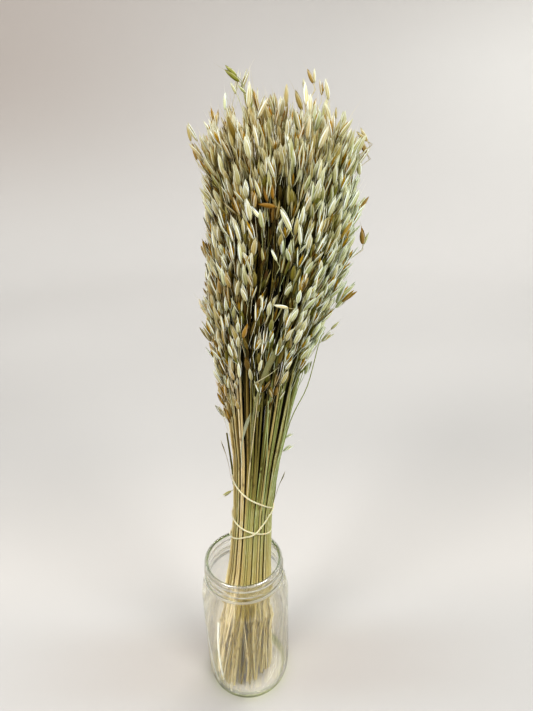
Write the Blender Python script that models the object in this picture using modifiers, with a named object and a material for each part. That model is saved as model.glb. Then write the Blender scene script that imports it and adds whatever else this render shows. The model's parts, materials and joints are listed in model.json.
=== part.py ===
"""A tied bunch of dried oats standing in a glass jar.

The bunch is six strands of whole plants. In each strand the stems run from their cut ends on the floor of
the jar, through the rubber band, into an oat head whose spikelets stand out of a smaller core. Metres, +Z up,
with the origin under the middle of the jar's base. The view of the photograph looks along +Y.
"""

import math
import random

import bmesh
import bpy
import numpy as np
from mathutils import Matrix, Vector

# Jar: half of its section, (radius, height), from the middle of its inner floor, over the rim, to its base
JAR_SECTION = (
    (0.0, 0.0050),
    (0.0385, 0.0050),
    (0.0430, 0.0100),
    (0.0454, 0.1200),
    (0.0395, 0.1450),
    (0.0382, 0.1520),
    (0.0382, 0.1712),
    (0.0392, 0.1720),
    (0.0410, 0.1720),
    (0.0419, 0.1710),
    (0.0419, 0.1680),
    (0.0433, 0.1665),
    (0.0419, 0.1650),
    (0.0419, 0.1600),
    (0.0433, 0.1585),
    (0.0419, 0.1570),
    (0.0419, 0.1540),
    (0.0437, 0.1522),
    (0.0437, 0.1500),
    (0.0427, 0.1485),
    (0.0456, 0.1400),
    (0.0484, 0.1280),
    (0.0477, 0.0300),
    (0.0450, 0.0080),
    (0.0390, 0.0),
    (0.0, 0.0),
)
JAR_STEPS = 28

# Bunch, level by level: (height, middle's x, reach of the stems, outer and inner reach of the core). Reaches are
# from the middle, which leans right and back. Everything in a strand is straight between two levels
LEVELS = (
    (0.0055, -0.0065, 0.0305, 0.0270, 0.0010),
    (0.030, -0.0067, 0.0328, 0.0298, 0.0010),
    (0.060, -0.0055, 0.0335, 0.0308, 0.0010),
    (0.105, 0.0010, 0.0295, 0.0268, 0.0010),
    (0.160, 0.0066, 0.0238, 0.0212, 0.0010),
    (0.225, 0.0120, 0.0214, 0.0189, 0.0010),
    (0.290, 0.0189, 0.0256, 0.0230, 0.0010),
    (0.350, 0.0240, 0.0350, 0.0322, 0.0060),
    (0.400, 0.0283, 0.0418, 0.0422, 0.0300),
    (0.440, 0.0347, 0.0515, 0.0515, 0.0415),
    (0.480, 0.0430, 0.0580, 0.0580, 0.0485),
    (0.520, 0.0478, 0.0600, 0.0600, 0.0507),
    (0.555, 0.0480, 0.0592, 0.0592, 0.0497),
    (0.582, 0.0478, 0.0540, 0.0540, 0.0425),
    (0.600, 0.0478, 0.0400, 0.0400, 0.0240),
    (0.610, 0.0478, 0.0150, 0.0150, 0.0010),
)
HEIGHT, MIDDLE_X, STEM_REACH, CORE_OUTER, CORE_INNER = zip(*LEVELS)
CORE_FOOT = 1
STEM_TOP = 8
LEAN_BACK = 0.070
LEAN_BACK_AT_FLOOR = 0.0006

CORE_ARC_POINTS = 5
CORE_RELIEF = 0.0022
RELIEF_FROM = 0.380

# Strands, by the azimuth of their middle: 0 is the right of the photograph, 270 its front
STRANDS = (
    # name, azimuth, lowest spikelet, material
    ("oat_strand_right", 0, 0.375, "oat_green"),
    ("oat_strand_back_right", 60, 0.365, "oat_green"),
    ("oat_strand_back_left", 120, 0.355, "oat_gold"),
    ("oat_strand_left", 180, 0.325, "oat_gold"),
    ("oat_strand_front_left", 240, 0.365, "oat_pale"),
    ("oat_strand_front_right", 300, 0.385, "oat_pale"),
)
HALF_SECTOR = math.radians(180 / len(STRANDS))
STRAND_GAP = 0.00022
SIDE_MARGIN = 0.00040

STEM_RADIUS = 0.00125
STEMS_OUTSIDE = 7
STEMS_INSIDE = 2
INSIDE_DEPTH = 0.0055
INSIDE_TOP = 0.070
TIED_FROM, TIED_TO = 0.160, 0.250
STEM_WANDER = 0.0016

SPIKELET_ROW = 0.0192
CROWN_CROWDING = 1.8
SPIKELET_PITCH = 0.0098
SPIKELET_JITTER = 0.18
SPIKELET_LENGTH = 0.034
SPIKELET_WIDTH = 0.0098
SPIKELET_DEPTH = 0.0060
SPIKELET_BELLY = 0.42
SPIKELET_SINK = 0.0065
SPIKELET_TILT = 0.36
SPIKELET_WANDER = 0.10
FAN_START = 0.130

# Sprays that stand clear of the heads: (azimuth, height of the root, height of the tip, the tip's reach)
SPRAYS = (
    (183, 0.592, 0.649, 0.040),
    (168, 0.592, 0.643, 0.032),
    (3, 0.592, 0.644, 0.026),
    (-10, 0.588, 0.636, 0.039),
    (188, 0.550, 0.608, 0.074),
    (172, 0.535, 0.589, 0.073),
    (197, 0.575, 0.620, 0.055),
    (-4, 0.538, 0.595, 0.073),
    (9, 0.488, 0.544, 0.079),
    (-7, 0.462, 0.518, 0.080),
    (-9, 0.415, 0.468, 0.072),
    (4, 0.380, 0.433, 0.069),
    (176, 0.402, 0.455, 0.066),
    (188, 0.385, 0.438, 0.058),
    (60, 0.575, 0.628, 0.058),
    (72, 0.480, 0.535, 0.079),
    (48, 0.400, 0.450, 0.066),
    (112, 0.570, 0.624, 0.056),
    (128, 0.500, 0.556, 0.078),
    (118, 0.395, 0.446, 0.064),
    (236, 0.585, 0.634, 0.040),
    (262, 0.592, 0.630, 0.024),
    (300, 0.585, 0.634, 0.036),
    (4, 0.280, 0.316, 0.037),
    (-6, 0.265, 0.299, 0.033),
    (183, 0.262, 0.240, 0.035),
)
SPRAY_RADIUS = 0.00060
SPRAY_SINK = 0.005
SPRAY_SPIKELET = (0.0060, 0.0040, 0.0210)

# Leaf blades still on their stems: (azimuth, height of the foot, height of the tip, how far the tip stands off)
LEAVES = (
    (276, 0.330, 0.392, 0.0060),
    (184, 0.258, 0.312, 0.0070),
    (352, 0.240, 0.272, 0.0050),
    (100, 0.310, 0.375, 0.0080),
)
LEAF_WIDTH = 0.0052
LEAF_THICKNESS = 0.0008
LEAF_SINK = 0.0012

# Rubber band: (turns from its left end, height). One loop goes three times round and crosses itself
BAND_PATH = (
    (0.00, 0.2670),
    (0.25, 0.2497),
    (0.50, 0.2258),
    (0.75, 0.2215),
    (1.00, 0.2200),
    (1.25, 0.2108),
    (1.50, 0.1968),
    (1.75, 0.1935),
    (2.00, 0.1925),
    (2.25, 0.2085),
    (2.50, 0.2320),
    (2.75, 0.2540),
)
BAND_TURNS = 3
BAND_RADIUS = 0.0010
BAND_GAP = 0.00045
BAND_POINTS_PER_TURN = 25
BAND_CROSSINGS = (2.265, 2.455)
BAND_CROSSING_REACH = 0.07
BAND_LIFT = 0.0026

SEED = 15

MATERIALS = {
    # colour, roughness, transmission
    "glass": ((0.86, 0.93, 0.89, 0.35), 0.05, 1.0),
    "rubber": ((0.87, 0.84, 0.74, 1.0), 0.55, 0.0),
    "oat_green": ((0.47, 0.50, 0.27, 1.0), 0.70, 0.0),
    "oat_gold": ((0.60, 0.46, 0.22, 1.0), 0.70, 0.0),
    "oat_pale": ((0.66, 0.64, 0.44, 1.0), 0.70, 0.0),
}


def clear_scene():
    for obj in list(bpy.data.objects):
        bpy.data.objects.remove(obj)


def make_material(name):
    colour, roughness, transmission = MATERIALS[name]
    material = bpy.data.materials.new(name)
    material.use_nodes = True
    shader = material.node_tree.nodes["Principled BSDF"]
    shader.inputs["Base Color"].default_value = colour
    shader.inputs["Roughness"].default_value = roughness
    shader.inputs["Metallic"].default_value = 0.0
    shader.inputs["Transmission Weight"].default_value = transmission
    return material


def link(name, data, collection, matrix=None):
    obj = bpy.data.objects.new(name, data)
    collection.objects.link(obj)
    if matrix is not None:
        obj.matrix_world = matrix
    return obj


def evaluated_mesh(obj):
    bpy.context.view_layer.update()
    graph = bpy.context.evaluated_depsgraph_get()
    return bpy.data.meshes.new_from_object(obj.evaluated_get(graph))


def smooth_step(value):
    value = min(1.0, max(0.0, value))
    return value * value * (3 - 2 * value)


def at_height(z, column):
    """A value of the table of levels at a height between them."""
    return float(np.interp(z, HEIGHT, column))


# Places in the bunch


def middle(z):
    """The bunch's middle at a height."""
    return Vector((at_height(z, MIDDLE_X), LEAN_BACK_AT_FLOOR + LEAN_BACK * z, z))


def stem_reach(z):
    """The distance from the middle to the outside of the stems."""
    return at_height(z, STEM_REACH)


def outward(azimuth):
    return Vector((math.cos(azimuth), math.sin(azimuth), 0))


def in_bunch(azimuth, reach, z):
    return middle(z) + outward(azimuth) * reach


def growth(azimuth, reach, z):
    """The way the stems run at a place, from the bunch's own lean and the fan above its tie."""
    step = 0.02
    lean = (middle(z + step) - middle(z - step)) / (2 * step)
    return (lean + outward(azimuth) * (reach / max(z - FAN_START, 0.1))).normalized()


def inside_sector(point, azimuth):
    """Whether a point is clear of the two planes that bound the strand at this azimuth."""
    offset = point - middle(point.z)
    turn = math.atan2(offset.y, offset.x) - azimuth
    turn = (turn + math.pi) % (2 * math.pi) - math.pi
    reach = math.hypot(offset.x, offset.y)
    if abs(turn) > math.pi / 2:
        return False
    return reach * math.sin(HALF_SECTOR - abs(turn)) >= SIDE_MARGIN


# Jar and rubber band


def build_jar(collection):
    profile = bmesh.new()
    points = [profile.verts.new((radius, 0, height)) for radius, height in JAR_SECTION]
    for first, second in zip(points, points[1:]):
        profile.edges.new((first, second))
    mesh = bpy.data.meshes.new("glass_jar")
    profile.to_mesh(mesh)
    profile.free()
    jar = link("glass_jar", mesh, collection)
    screw = jar.modifiers.new("turn", "SCREW")
    screw.axis = "Z"
    screw.angle = 2 * math.pi
    screw.steps = screw.render_steps = JAR_STEPS
    screw.use_merge_vertices = True
    screw.merge_threshold = 0.00005
    jar.data.materials.append(make_material("glass"))


def band_height(turns):
    """The rubber band's height after so many turns, on a closed curve through its stations."""
    count = len(BAND_PATH)
    spacing = BAND_TURNS / count
    i = int(turns / spacing) % count
    t = turns / spacing - int(turns / spacing)
    before, start, end, after = (BAND_PATH[(i + n) % count][1] for n in (-1, 0, 1, 2))
    rise_in, rise_out = (end - before) / 2, (after - start) / 2
    return (
        (2 * t**3 - 3 * t**2 + 1) * start
        + (t**3 - 2 * t**2 + t) * rise_in
        + (3 * t**2 - 2 * t**3) * end
        + (t**3 - t**2) * rise_out
    )


def band_lift(turns):
    """How far the band stands off where it passes over another of its turns."""
    nearest = min(abs(turns - crossing) for crossing in BAND_CROSSINGS)
    return BAND_LIFT * smooth_step(1.5 * (1 - nearest / BAND_CROSSING_REACH))


def build_rubber_band(collection):
    count = BAND_TURNS * BAND_POINTS_PER_TURN
    curve = bpy.data.curves.new("rubber_band", "CURVE")
    curve.dimensions = "3D"
    curve.bevel_depth = BAND_RADIUS
    curve.bevel_resolution = 0
    spline = curve.splines.new("POLY")
    spline.points.add(count - 1)
    spline.use_cyclic_u = True
    for i, point in enumerate(spline.points):
        turns = i / BAND_POINTS_PER_TURN
        z = band_height(turns)
        reach = stem_reach(z) + BAND_GAP + BAND_RADIUS + band_lift(turns)
        place = in_bunch(math.pi + 2 * math.pi * turns, reach, z)
        point.co = (*place, 1)
    band = link("rubber_band", curve, collection)
    band.data.materials.append(make_material("rubber"))


# What a strand is made of


def core_section(azimuth, level):
    """The outline of a strand's core at a level: an arc outside, an arc inside, and a gap to its neighbours."""
    z, outer, inner = HEIGHT[level], CORE_OUTER[level], CORE_INNER[level]
    relief = CORE_RELIEF if z > RELIEF_FROM else 0
    outline = []
    for reach, count in ((outer, CORE_ARC_POINTS), (inner, 3)):
        half = HALF_SECTOR - math.asin(STRAND_GAP / reach)
        for i in range(count):
            turn = half * (2 * i / (count - 1) - 1)
            if reach == outer:
                bump = relief if (i + level) % 2 else -relief
                outline.append(in_bunch(azimuth + turn, reach + bump, z))
            else:
                outline.append(in_bunch(azimuth - turn, reach, z))
    return outline


def core_mesh(azimuth):
    shape = bmesh.new()
    levels = range(CORE_FOOT, len(LEVELS))
    rings = [[shape.verts.new(point) for point in core_section(azimuth, level)] for level in levels]
    for low, high in zip(rings, rings[1:]):
        count = len(low)
        for i in range(count):
            j = (i + 1) % count
            shape.faces.new((low[i], low[j], high[j], high[i]))
    shape.faces.new(reversed(rings[0]))
    shape.faces.new(rings[-1])
    bmesh.ops.triangulate(shape, faces=shape.faces)
    mesh = bpy.data.meshes.new("core")
    shape.to_mesh(mesh)
    shape.free()
    return mesh


def tube_mesh(points, radius):
    """A four-sided tube through the points, closed at both ends."""
    curve = bpy.data.curves.new("tube", "CURVE")
    curve.dimensions = "3D"
    curve.bevel_depth = radius
    curve.bevel_resolution = 0
    curve.use_fill_caps = True
    spline = curve.splines.new("POLY")
    spline.points.add(len(points) - 1)
    for spot, place in zip(spline.points, points):
        spot.co = (*place, 1)
    guide = link("tube", curve, bpy.context.scene.collection)
    mesh = evaluated_mesh(guide)
    bpy.data.objects.remove(guide)
    shape = bmesh.new()
    shape.from_mesh(mesh)
    bmesh.ops.remove_doubles(shape, verts=shape.verts, dist=0.00001)
    bmesh.ops.recalc_face_normals(shape, faces=shape.faces)
    shape.to_mesh(mesh)
    shape.free()
    return mesh


def spikelet_mesh():
    """A three-sided spindle one unit long and wide: a cone for its tip, and its base drawn out to the root."""
    shape = bmesh.new()
    bmesh.ops.create_cone(
        shape,
        cap_ends=True,
        segments=3,
        radius1=0.5,
        radius2=0,
        depth=1 - SPIKELET_BELLY,
        matrix=Matrix.Translation((0, 0, SPIKELET_BELLY + (1 - SPIKELET_BELLY) / 2)),
    )
    bmesh.ops.remove_doubles(shape, verts=shape.verts, dist=0.0001)
    shape.faces.ensure_lookup_table()
    foot = [face for face in shape.faces if face.normal.z < -0.9]
    root = bmesh.ops.poke(shape, faces=foot)["verts"][0]
    root.co.z = 0
    bmesh.ops.recalc_face_normals(shape, faces=shape.faces)
    mesh = bpy.data.meshes.new("spikelet")
    shape.to_mesh(mesh)
    shape.free()
    return mesh


def leaf_mesh(azimuth, foot, tip, stand_off):
    """One narrow arched blade, from a foot sunk in the stems to a tip that stands off them."""
    shape = bmesh.new()
    levels = 5
    rows = []
    for i in range(levels + 1):
        share = i / levels
        z = foot + (tip - foot) * share
        reach = stem_reach(z) - LEAF_SINK + (stand_off + LEAF_SINK) * share**1.5
        half = 0.5 * LEAF_WIDTH * math.sin(math.pi * (0.12 + 0.83 * share)) / max(reach, 0.01)
        rows.append([in_bunch(azimuth + side * half, reach, z) for side in (-1, 1)])
    grid = [[shape.verts.new(p) for p in row] for row in rows]
    for low, high in zip(grid, grid[1:]):
        shape.faces.new((low[0], low[1], high[1]))
        shape.faces.new((low[0], high[1], high[0]))
    bmesh.ops.recalc_face_normals(shape, faces=shape.faces)
    mesh = bpy.data.meshes.new("leaf")
    shape.to_mesh(mesh)
    shape.free()
    blade = link("leaf", mesh, bpy.context.scene.collection)
    wall = blade.modifiers.new("thickness", "SOLIDIFY")
    wall.thickness = LEAF_THICKNESS
    wall.offset = 0
    solid = evaluated_mesh(blade)
    bpy.data.objects.remove(blade)
    return solid


def frame_along(direction, facing, origin, width, depth, length):
    """A matrix that sets a unit shape at origin, along direction, with its depth towards facing."""
    up = direction.normalized()
    side = facing.cross(up).normalized()
    front = up.cross(side)
    turn = Matrix((side * width, front * depth, up * length)).transposed()
    return Matrix.Translation(origin) @ turn.to_4x4()


def stem_paths(azimuth, rng):
    """The lines of a strand's stems: those outside run up into the head, those inside only show at the foot."""
    pitch = 2 * HALF_SECTOR / STEMS_OUTSIDE
    for i in range(STEMS_OUTSIDE):
        turn = pitch * (i + 0.5) - HALF_SECTOR
        low, high = rng.uniform(-1, 1), rng.uniform(-1, 1)
        points = []
        for z in HEIGHT[: STEM_TOP + 1]:
            free = smooth_step((TIED_FROM - z) / 0.1) if z < TIED_FROM else smooth_step((z - TIED_TO) / 0.1)
            drift = low if z < TIED_FROM else high
            reach = stem_reach(z) - STEM_RADIUS - 0.4 * STEM_WANDER * free * (1 + drift)
            wander = STEM_WANDER * drift * free / reach
            limit = HALF_SECTOR - math.asin((STEM_RADIUS + SIDE_MARGIN / 2) / reach)
            points.append(in_bunch(azimuth + max(-limit, min(limit, turn + wander)), reach, z))
        points[0] += (points[1] - points[0]) * rng.uniform(0, 0.12)
        yield points
    for i in range(STEMS_INSIDE):
        turn = 2 * HALF_SECTOR * ((i + 0.5) / STEMS_INSIDE - 0.5)
        yield [in_bunch(azimuth + turn, stem_reach(z) - INSIDE_DEPTH, z) for z in (HEIGHT[0], INSIDE_TOP)]


def head_places(lowest, rng):
    """Places for a strand's spikelets, in staggered rows up its core: (share of its half width, height)."""
    top = HEIGHT[-1]
    steps = 200
    rise = (top - lowest) / steps
    z, climbed, row = lowest, 0.0, 0
    for _ in range(steps):
        climbed += math.hypot(rise, CROWN_CROWDING * (at_height(z + rise, CORE_OUTER) - at_height(z, CORE_OUTER)))
        z += rise
        if climbed < SPIKELET_ROW * (row + 0.5):
            continue
        width = 2 * HALF_SECTOR * at_height(z, CORE_OUTER)
        count = max(1, round(width / SPIKELET_PITCH) - row % 2)
        spread = 1 if row % 2 == 0 else (count - 1) / count
        for i in range(count):
            share = spread * (2 * i / (count - 1) - 1) if count > 1 else 0
            jitter = rng.uniform(-1, 1) * SPIKELET_JITTER
            yield share + jitter * (1 - abs(share)), min(top, z + jitter * SPIKELET_ROW)
        row += 1


def fits(shape, matrix, azimuth):
    return all(inside_sector(matrix @ vertex.co, azimuth) for vertex in shape.vertices)


def place_spikelet(azimuth, across, z, shape, rng):
    """A matrix for one spikelet rooted in the core, or None. across runs from -1 to 1 over the strand's width."""
    length = SPIKELET_LENGTH * rng.uniform(0.86, 1.12)
    side_lean = rng.gauss(0, SPIKELET_WANDER)
    tilt = SPIKELET_TILT * rng.uniform(0.7, 1.3)
    reach = at_height(z, CORE_OUTER)
    turn = across * max(0, HALF_SECTOR - math.asin(min(1, 0.45 * SPIKELET_WIDTH / reach)))
    for _ in range(10):
        out = outward(azimuth + turn)
        sideways = Vector((-out.y, out.x, 0))
        way = (growth(azimuth + turn, reach, z) + out * tilt + sideways * side_lean).normalized()
        root = in_bunch(azimuth + turn, reach, z) - way * SPIKELET_SINK
        matrix = frame_along(way, out, root, SPIKELET_WIDTH, SPIKELET_DEPTH, length)
        if fits(shape, matrix, azimuth):
            return matrix
        turn *= 0.97
        side_lean *= 0.6
    return None


def add_spray(azimuth, spray, shape, pieces):
    """A thin curved stalk out of the head or the stems, with one spikelet at its tip and one below it."""
    at, low, high, tip_reach = spray
    out = outward(math.radians(at))
    root_reach = max(at_height(low, CORE_OUTER), stem_reach(low) if low < RELIEF_FROM else 0) - SPRAY_SINK
    points = []
    for share in (0, 0.25, 0.5, 1):
        reach = root_reach + (tip_reach - root_reach) * share**1.25
        points.append(in_bunch(math.radians(at), reach, low + (high - low) * share))
    way = (points[3] - points[2]).normalized()
    width, depth, length = SPRAY_SPIKELET
    end = points[3] - way * length
    link("stalk", tube_mesh([points[0], points[1], end + way * 0.004], SPRAY_RADIUS), pieces)
    side = out.cross(Vector((0, 0, 1)))
    for root, direction in ((end, way), (points[1], way + side * 0.4)):
        matrix = frame_along(direction, out, root, width, depth, length)
        if fits(shape, matrix, azimuth):
            link("spikelet", shape, pieces, matrix)


def nearest_strand(degrees):
    """The azimuth of the strand that a direction falls in."""
    return min((row[1] for row in STRANDS), key=lambda middle_at: abs((degrees - middle_at + 180) % 360 - 180))


def build_strand(name, degrees, lowest, material, collection, shape, rng):
    azimuth = math.radians(degrees)
    pieces = bpy.data.collections.new("pieces")
    for points in stem_paths(azimuth, rng):
        link("stem", tube_mesh(points, STEM_RADIUS), pieces)
    for across, z in head_places(lowest, rng):
        matrix = place_spikelet(azimuth, across, z, shape, rng)
        if matrix is not None:
            link("spikelet", shape, pieces, matrix)
    for spray in SPRAYS:
        if nearest_strand(spray[0]) == degrees:
            add_spray(azimuth, spray, shape, pieces)
    for at, foot, tip, stand_off in LEAVES:
        if nearest_strand(at) == degrees:
            link("leaf", leaf_mesh(math.radians(at), foot, tip, stand_off), pieces)
    fuse(name, core_mesh(azimuth), pieces, material, collection)


def fuse(name, core, pieces, material, collection):
    """Joins a strand's core and its pieces in one solid."""
    strand = link(name, core, collection)
    join = strand.modifiers.new("join", "BOOLEAN")
    join.operation = "UNION"
    join.operand_type = "COLLECTION"
    join.collection = pieces
    join.solver = "MANIFOLD"
    strand.data = evaluated_mesh(strand)
    strand.modifiers.clear()
    keep_outer_skin(strand.data)
    for piece in list(pieces.objects):
        bpy.data.objects.remove(piece)
    bpy.data.collections.remove(pieces)
    strand.data.materials.clear()
    strand.data.materials.append(material)


def keep_outer_skin(mesh):
    """Removes what a union leaves beside its one solid: pieces that nothing holds, and pockets shut inside it."""
    shape = bmesh.new()
    shape.from_mesh(mesh)
    unseen = set(shape.verts)
    islands = []
    while unseen:
        island = set()
        edge_of_search = [unseen.pop()]
        while edge_of_search:
            vertex = edge_of_search.pop()
            island.add(vertex)
            near = {edge.other_vert(vertex) for edge in vertex.link_edges} & unseen
            unseen -= near
            edge_of_search.extend(near)
        islands.append(island)
    islands.sort(key=len)
    spare = [vertex for island in islands[:-1] for vertex in island]
    bmesh.ops.delete(shape, geom=spare, context="VERTS")
    shape.to_mesh(mesh)
    shape.free()


def main():
    clear_scene()
    collection = bpy.data.collections.new("dried_oats_bundle")
    bpy.context.scene.collection.children.link(collection)
    build_jar(collection)
    build_rubber_band(collection)
    shape = spikelet_mesh()
    materials = {name: make_material(name) for name in ("oat_green", "oat_gold", "oat_pale")}
    for number, (name, degrees, lowest, material) in enumerate(STRANDS):
        rng = random.Random(SEED + number)
        build_strand(name, degrees, lowest, materials[material], collection, shape, rng)


if __name__ == "__main__":
    main()
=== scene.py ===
"""A tied bunch of dried oats standing in a glass jar, with the finish of every surface.

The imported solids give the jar, the rubber band and six strands of plants their place. Here each strand
becomes whole plants: a stem from its cut end on the floor of the jar, through the band, into the head, and
thin branches that each carry one spikelet. Metres, +Z up. The view of the photograph looks along +Y.
"""

import json
import math
import random
from dataclasses import dataclass

import bmesh
import bpy
import numpy as np
from bpy.props import (
    FloatProperty,
    FloatVectorProperty,
    IntProperty,
    PointerProperty,
)
from mathutils import Matrix, Vector, noise

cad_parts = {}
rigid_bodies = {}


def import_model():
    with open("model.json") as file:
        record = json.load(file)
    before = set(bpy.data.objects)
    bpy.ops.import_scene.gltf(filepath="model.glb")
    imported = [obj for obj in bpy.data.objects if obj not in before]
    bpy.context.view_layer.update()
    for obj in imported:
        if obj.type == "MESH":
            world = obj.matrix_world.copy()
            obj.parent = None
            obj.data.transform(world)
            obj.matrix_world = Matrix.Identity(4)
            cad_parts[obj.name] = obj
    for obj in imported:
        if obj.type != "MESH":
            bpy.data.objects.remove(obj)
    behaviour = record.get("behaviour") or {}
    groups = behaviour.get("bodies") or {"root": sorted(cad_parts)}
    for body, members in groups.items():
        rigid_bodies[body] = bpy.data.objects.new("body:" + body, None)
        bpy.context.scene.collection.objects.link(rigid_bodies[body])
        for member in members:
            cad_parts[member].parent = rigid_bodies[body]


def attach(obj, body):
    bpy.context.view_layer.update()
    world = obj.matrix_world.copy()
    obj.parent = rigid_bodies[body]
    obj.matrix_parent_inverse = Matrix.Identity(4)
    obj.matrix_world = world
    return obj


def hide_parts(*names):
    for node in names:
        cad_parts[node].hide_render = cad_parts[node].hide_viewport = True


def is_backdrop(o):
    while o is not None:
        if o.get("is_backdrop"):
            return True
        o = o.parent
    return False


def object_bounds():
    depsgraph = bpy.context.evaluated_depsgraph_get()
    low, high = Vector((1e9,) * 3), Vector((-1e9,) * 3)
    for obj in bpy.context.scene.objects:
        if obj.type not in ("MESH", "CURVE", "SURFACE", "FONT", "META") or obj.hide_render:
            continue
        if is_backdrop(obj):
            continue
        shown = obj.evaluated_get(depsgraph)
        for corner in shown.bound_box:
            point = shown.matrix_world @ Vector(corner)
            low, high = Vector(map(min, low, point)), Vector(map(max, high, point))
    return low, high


bl_info = {
    "name": "Dried Oats Bundle",
    "version": (1, 0, 0),
    "blender": (4, 5, 0),
    "location": "View3D > Sidebar > Oats",
    "description": "Builds a tied bunch of dried oats in a glass jar",
    "category": "Add Mesh",
}

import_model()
CAD_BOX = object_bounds()

# Bunch, level by level: (height, middle's x, reach of the stems and then of the heads). Reaches are from the
# middle, which leans right and back
LEVELS = (
    (0.0055, -0.0065, 0.0305),
    (0.030, -0.0067, 0.0328),
    (0.060, -0.0055, 0.0335),
    (0.105, 0.0010, 0.0295),
    (0.160, 0.0066, 0.0238),
    (0.225, 0.0120, 0.0214),
    (0.290, 0.0189, 0.0256),
    (0.350, 0.0240, 0.0350),
    (0.400, 0.0283, 0.0422),
    (0.440, 0.0347, 0.0515),
    (0.480, 0.0430, 0.0580),
    (0.520, 0.0478, 0.0600),
    (0.555, 0.0480, 0.0592),
    (0.582, 0.0478, 0.0540),
    (0.600, 0.0478, 0.0400),
    (0.610, 0.0478, 0.0150),
)
HEIGHT, MIDDLE_X, REACH = zip(*LEVELS)
LEAN_BACK = 0.070
LEAN_BACK_AT_FLOOR = 0.0006
WIDEST_AT = 0.555

# Strands, by the azimuth of their middle: 0 is the right of the photograph, 270 its front
STRANDS = {
    # name: (azimuth, lowest spikelet, material slot)
    "right": (0, 0.375, "oat_green"),
    "back_right": (60, 0.365, "oat_green"),
    "back_left": (120, 0.355, "oat_gold"),
    "left": (180, 0.325, "oat_gold"),
    "front_left": (240, 0.350, "oat_pale"),
    "front_right": (300, 0.378, "oat_pale"),
}
HALF_SECTOR = math.radians(180 / len(STRANDS))

# Plants of a strand, ring by ring from the outside: (count, share of the bunch's reach, distance between
# spikelets up a plant, how far below its top they begin, light that reaches its stem)
RINGS = (
    (13, 0.948, 0.0075, 0.300, 1.00),
    (10, 0.845, 0.0070, 0.300, 0.34),
    (6, 0.660, 0.0085, 0.080, 0.08),
    (3, 0.420, 0.0088, 0.065, 0.06),
    (1, 0.150, 0.0088, 0.050, 0.06),
)
TIED_FROM, TIED_TO = 0.122, 0.250
STEM_STATIONS = 14
RACHIS_GIRTH, RACHIS_SPAN = 0.45, (0.30, 0.52)
TIP_LENGTH = 0.05
LOW_JOINT_DRAW, HIGH_JOINT_DRAW = (0.045, 0.11), (0.24, 0.33)
JOINT_HALF_LENGTH, JOINT_SWELL = 0.0035, 0.16
FAN_START = 0.130
LEAST_FAN = 0.1
LEAN_STEP = 0.02

# Cut ends of the stems, on the floor of the jar
FLOOR_HEIGHT = 0.0062
FOOT_RISE = 0.0032
FOOT_ASIDE = -0.0044
FOOT_REACH = 0.0312
FOOT_WIDER = 0.0075
FLOOR_ROOM = 0.0387

# How unlike the plants are. A pair gives the ends of an even draw, the other draws have a mean or a spread
TURN_JITTER = 0.32
SHARE_DRAW = (0.975, 1.0)
TOP_DRAW = (-0.012, 0.012)
OUTER_TIED_DRAW, INNER_TIED_DRAW = (0.97, 1.0), (0.86, 1.0)
LOWEST_MEAN, LOWEST_SPREAD = 0.018, 0.022
DEPTH_DRAW = (0.8, 1.1)
FOOT_DRIFT, HEAD_DRIFT = 0.30, 0.10
FOOT_SPREAD_DRAW = (-0.10, 0.10)
GIRTH_DRAW = (0.62, 1.26)
GREEN_SPREAD = 0.28
BROWN_MEAN, BROWN_SPREAD = 0.05, 0.32
LIGHT_DRAW = (0.45, 1.25)

SPIKELET_TILT = (0.00, 0.42)
SPIKELET_SIDEWAYS = 0.13
SPIKELET_ASIDE = 0.0026
SPIKELET_OUTERMOST, SPIKELET_LAYER = 0.0070, 0.0100
LOW_GAPS, LOW_GAPS_RISE = 1.3, 0.07
PITCH_DRAW = (0.6, 1.4)
BRANCH_RISE = (0.014, 0.034)
BRANCH_END, BRANCH_BOW = 0.005, 0.002
CROWN_SHAPES_FROM = 0.54

# Light on the plants, painted into their colour. Its spans are heights between which it changes. All of it is
# painted light and shade in the plants' own colour, by their place in the bunch, because thin parts shade
# each other more than the lights alone do
BRIGHTEST, DARKEST = 1.08, 0.08
SPIKELET_LIGHT = 1.16
DEEP_SHADE, CLEFT_SHADE = 0.90, 0.75
TIED_LIGHT, TIED_EVENNESS = 0.83, 0.65
IN_JAR_LIGHT, UNDER_HEADS_SHADE = 0.92, 0.45
INSIDE_SPAN = (0.14, 0.20)
UNDER_HEADS_SPAN = (0.36, 0.42)
TIED_SPAN = (0.12, 0.16)
IN_JAR_SPAN = (0.15, 0.20)
LOW_HEADS_SPAN = (0.37, 0.43)
CROWN_SPAN = (0.52, 0.57)
CROWN_GREEN_SPAN = (0.535, 0.605)

# Dark cleft down the front of the heads, where few spikelets lie and the stems behind them show, and where
# the spikelets and the stems are painted darker too
CLEFT_AZIMUTH = math.radians(267)
CLEFT_HALF_WIDTH = math.radians(11)
CLEFT_FROM, CLEFT_TO = 0.425, 0.575
CLEFT_FADE = 0.03
CLEFT_DEPTH = 0.014
CLEFT_GAPS = 0.58
CLEFT_WINDING = math.radians(5)
CLEFT_WINDS = 55
BARE_AZIMUTH = math.radians(246)
BARE_HALF_WIDTH = math.radians(11)
BARE_HEIGHT = 0.062
SHADY_HALF_WIDTH = math.radians(24)
BEHIND_HALF_WIDTH = math.radians(30)

# Sprays that stand out of the heads. A spray has one to three spikelets, each further back and wider apart
SPRAY_ROOT = 0.80
SPRAY_COUNTS = (1, 2, 2, 3)
SPRAY_STEP = 0.45
SPRAY_SPREAD, SPRAY_SPREAD_MORE = 0.05, 0.16
SPRAY_ASIDE = 0.02

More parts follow.
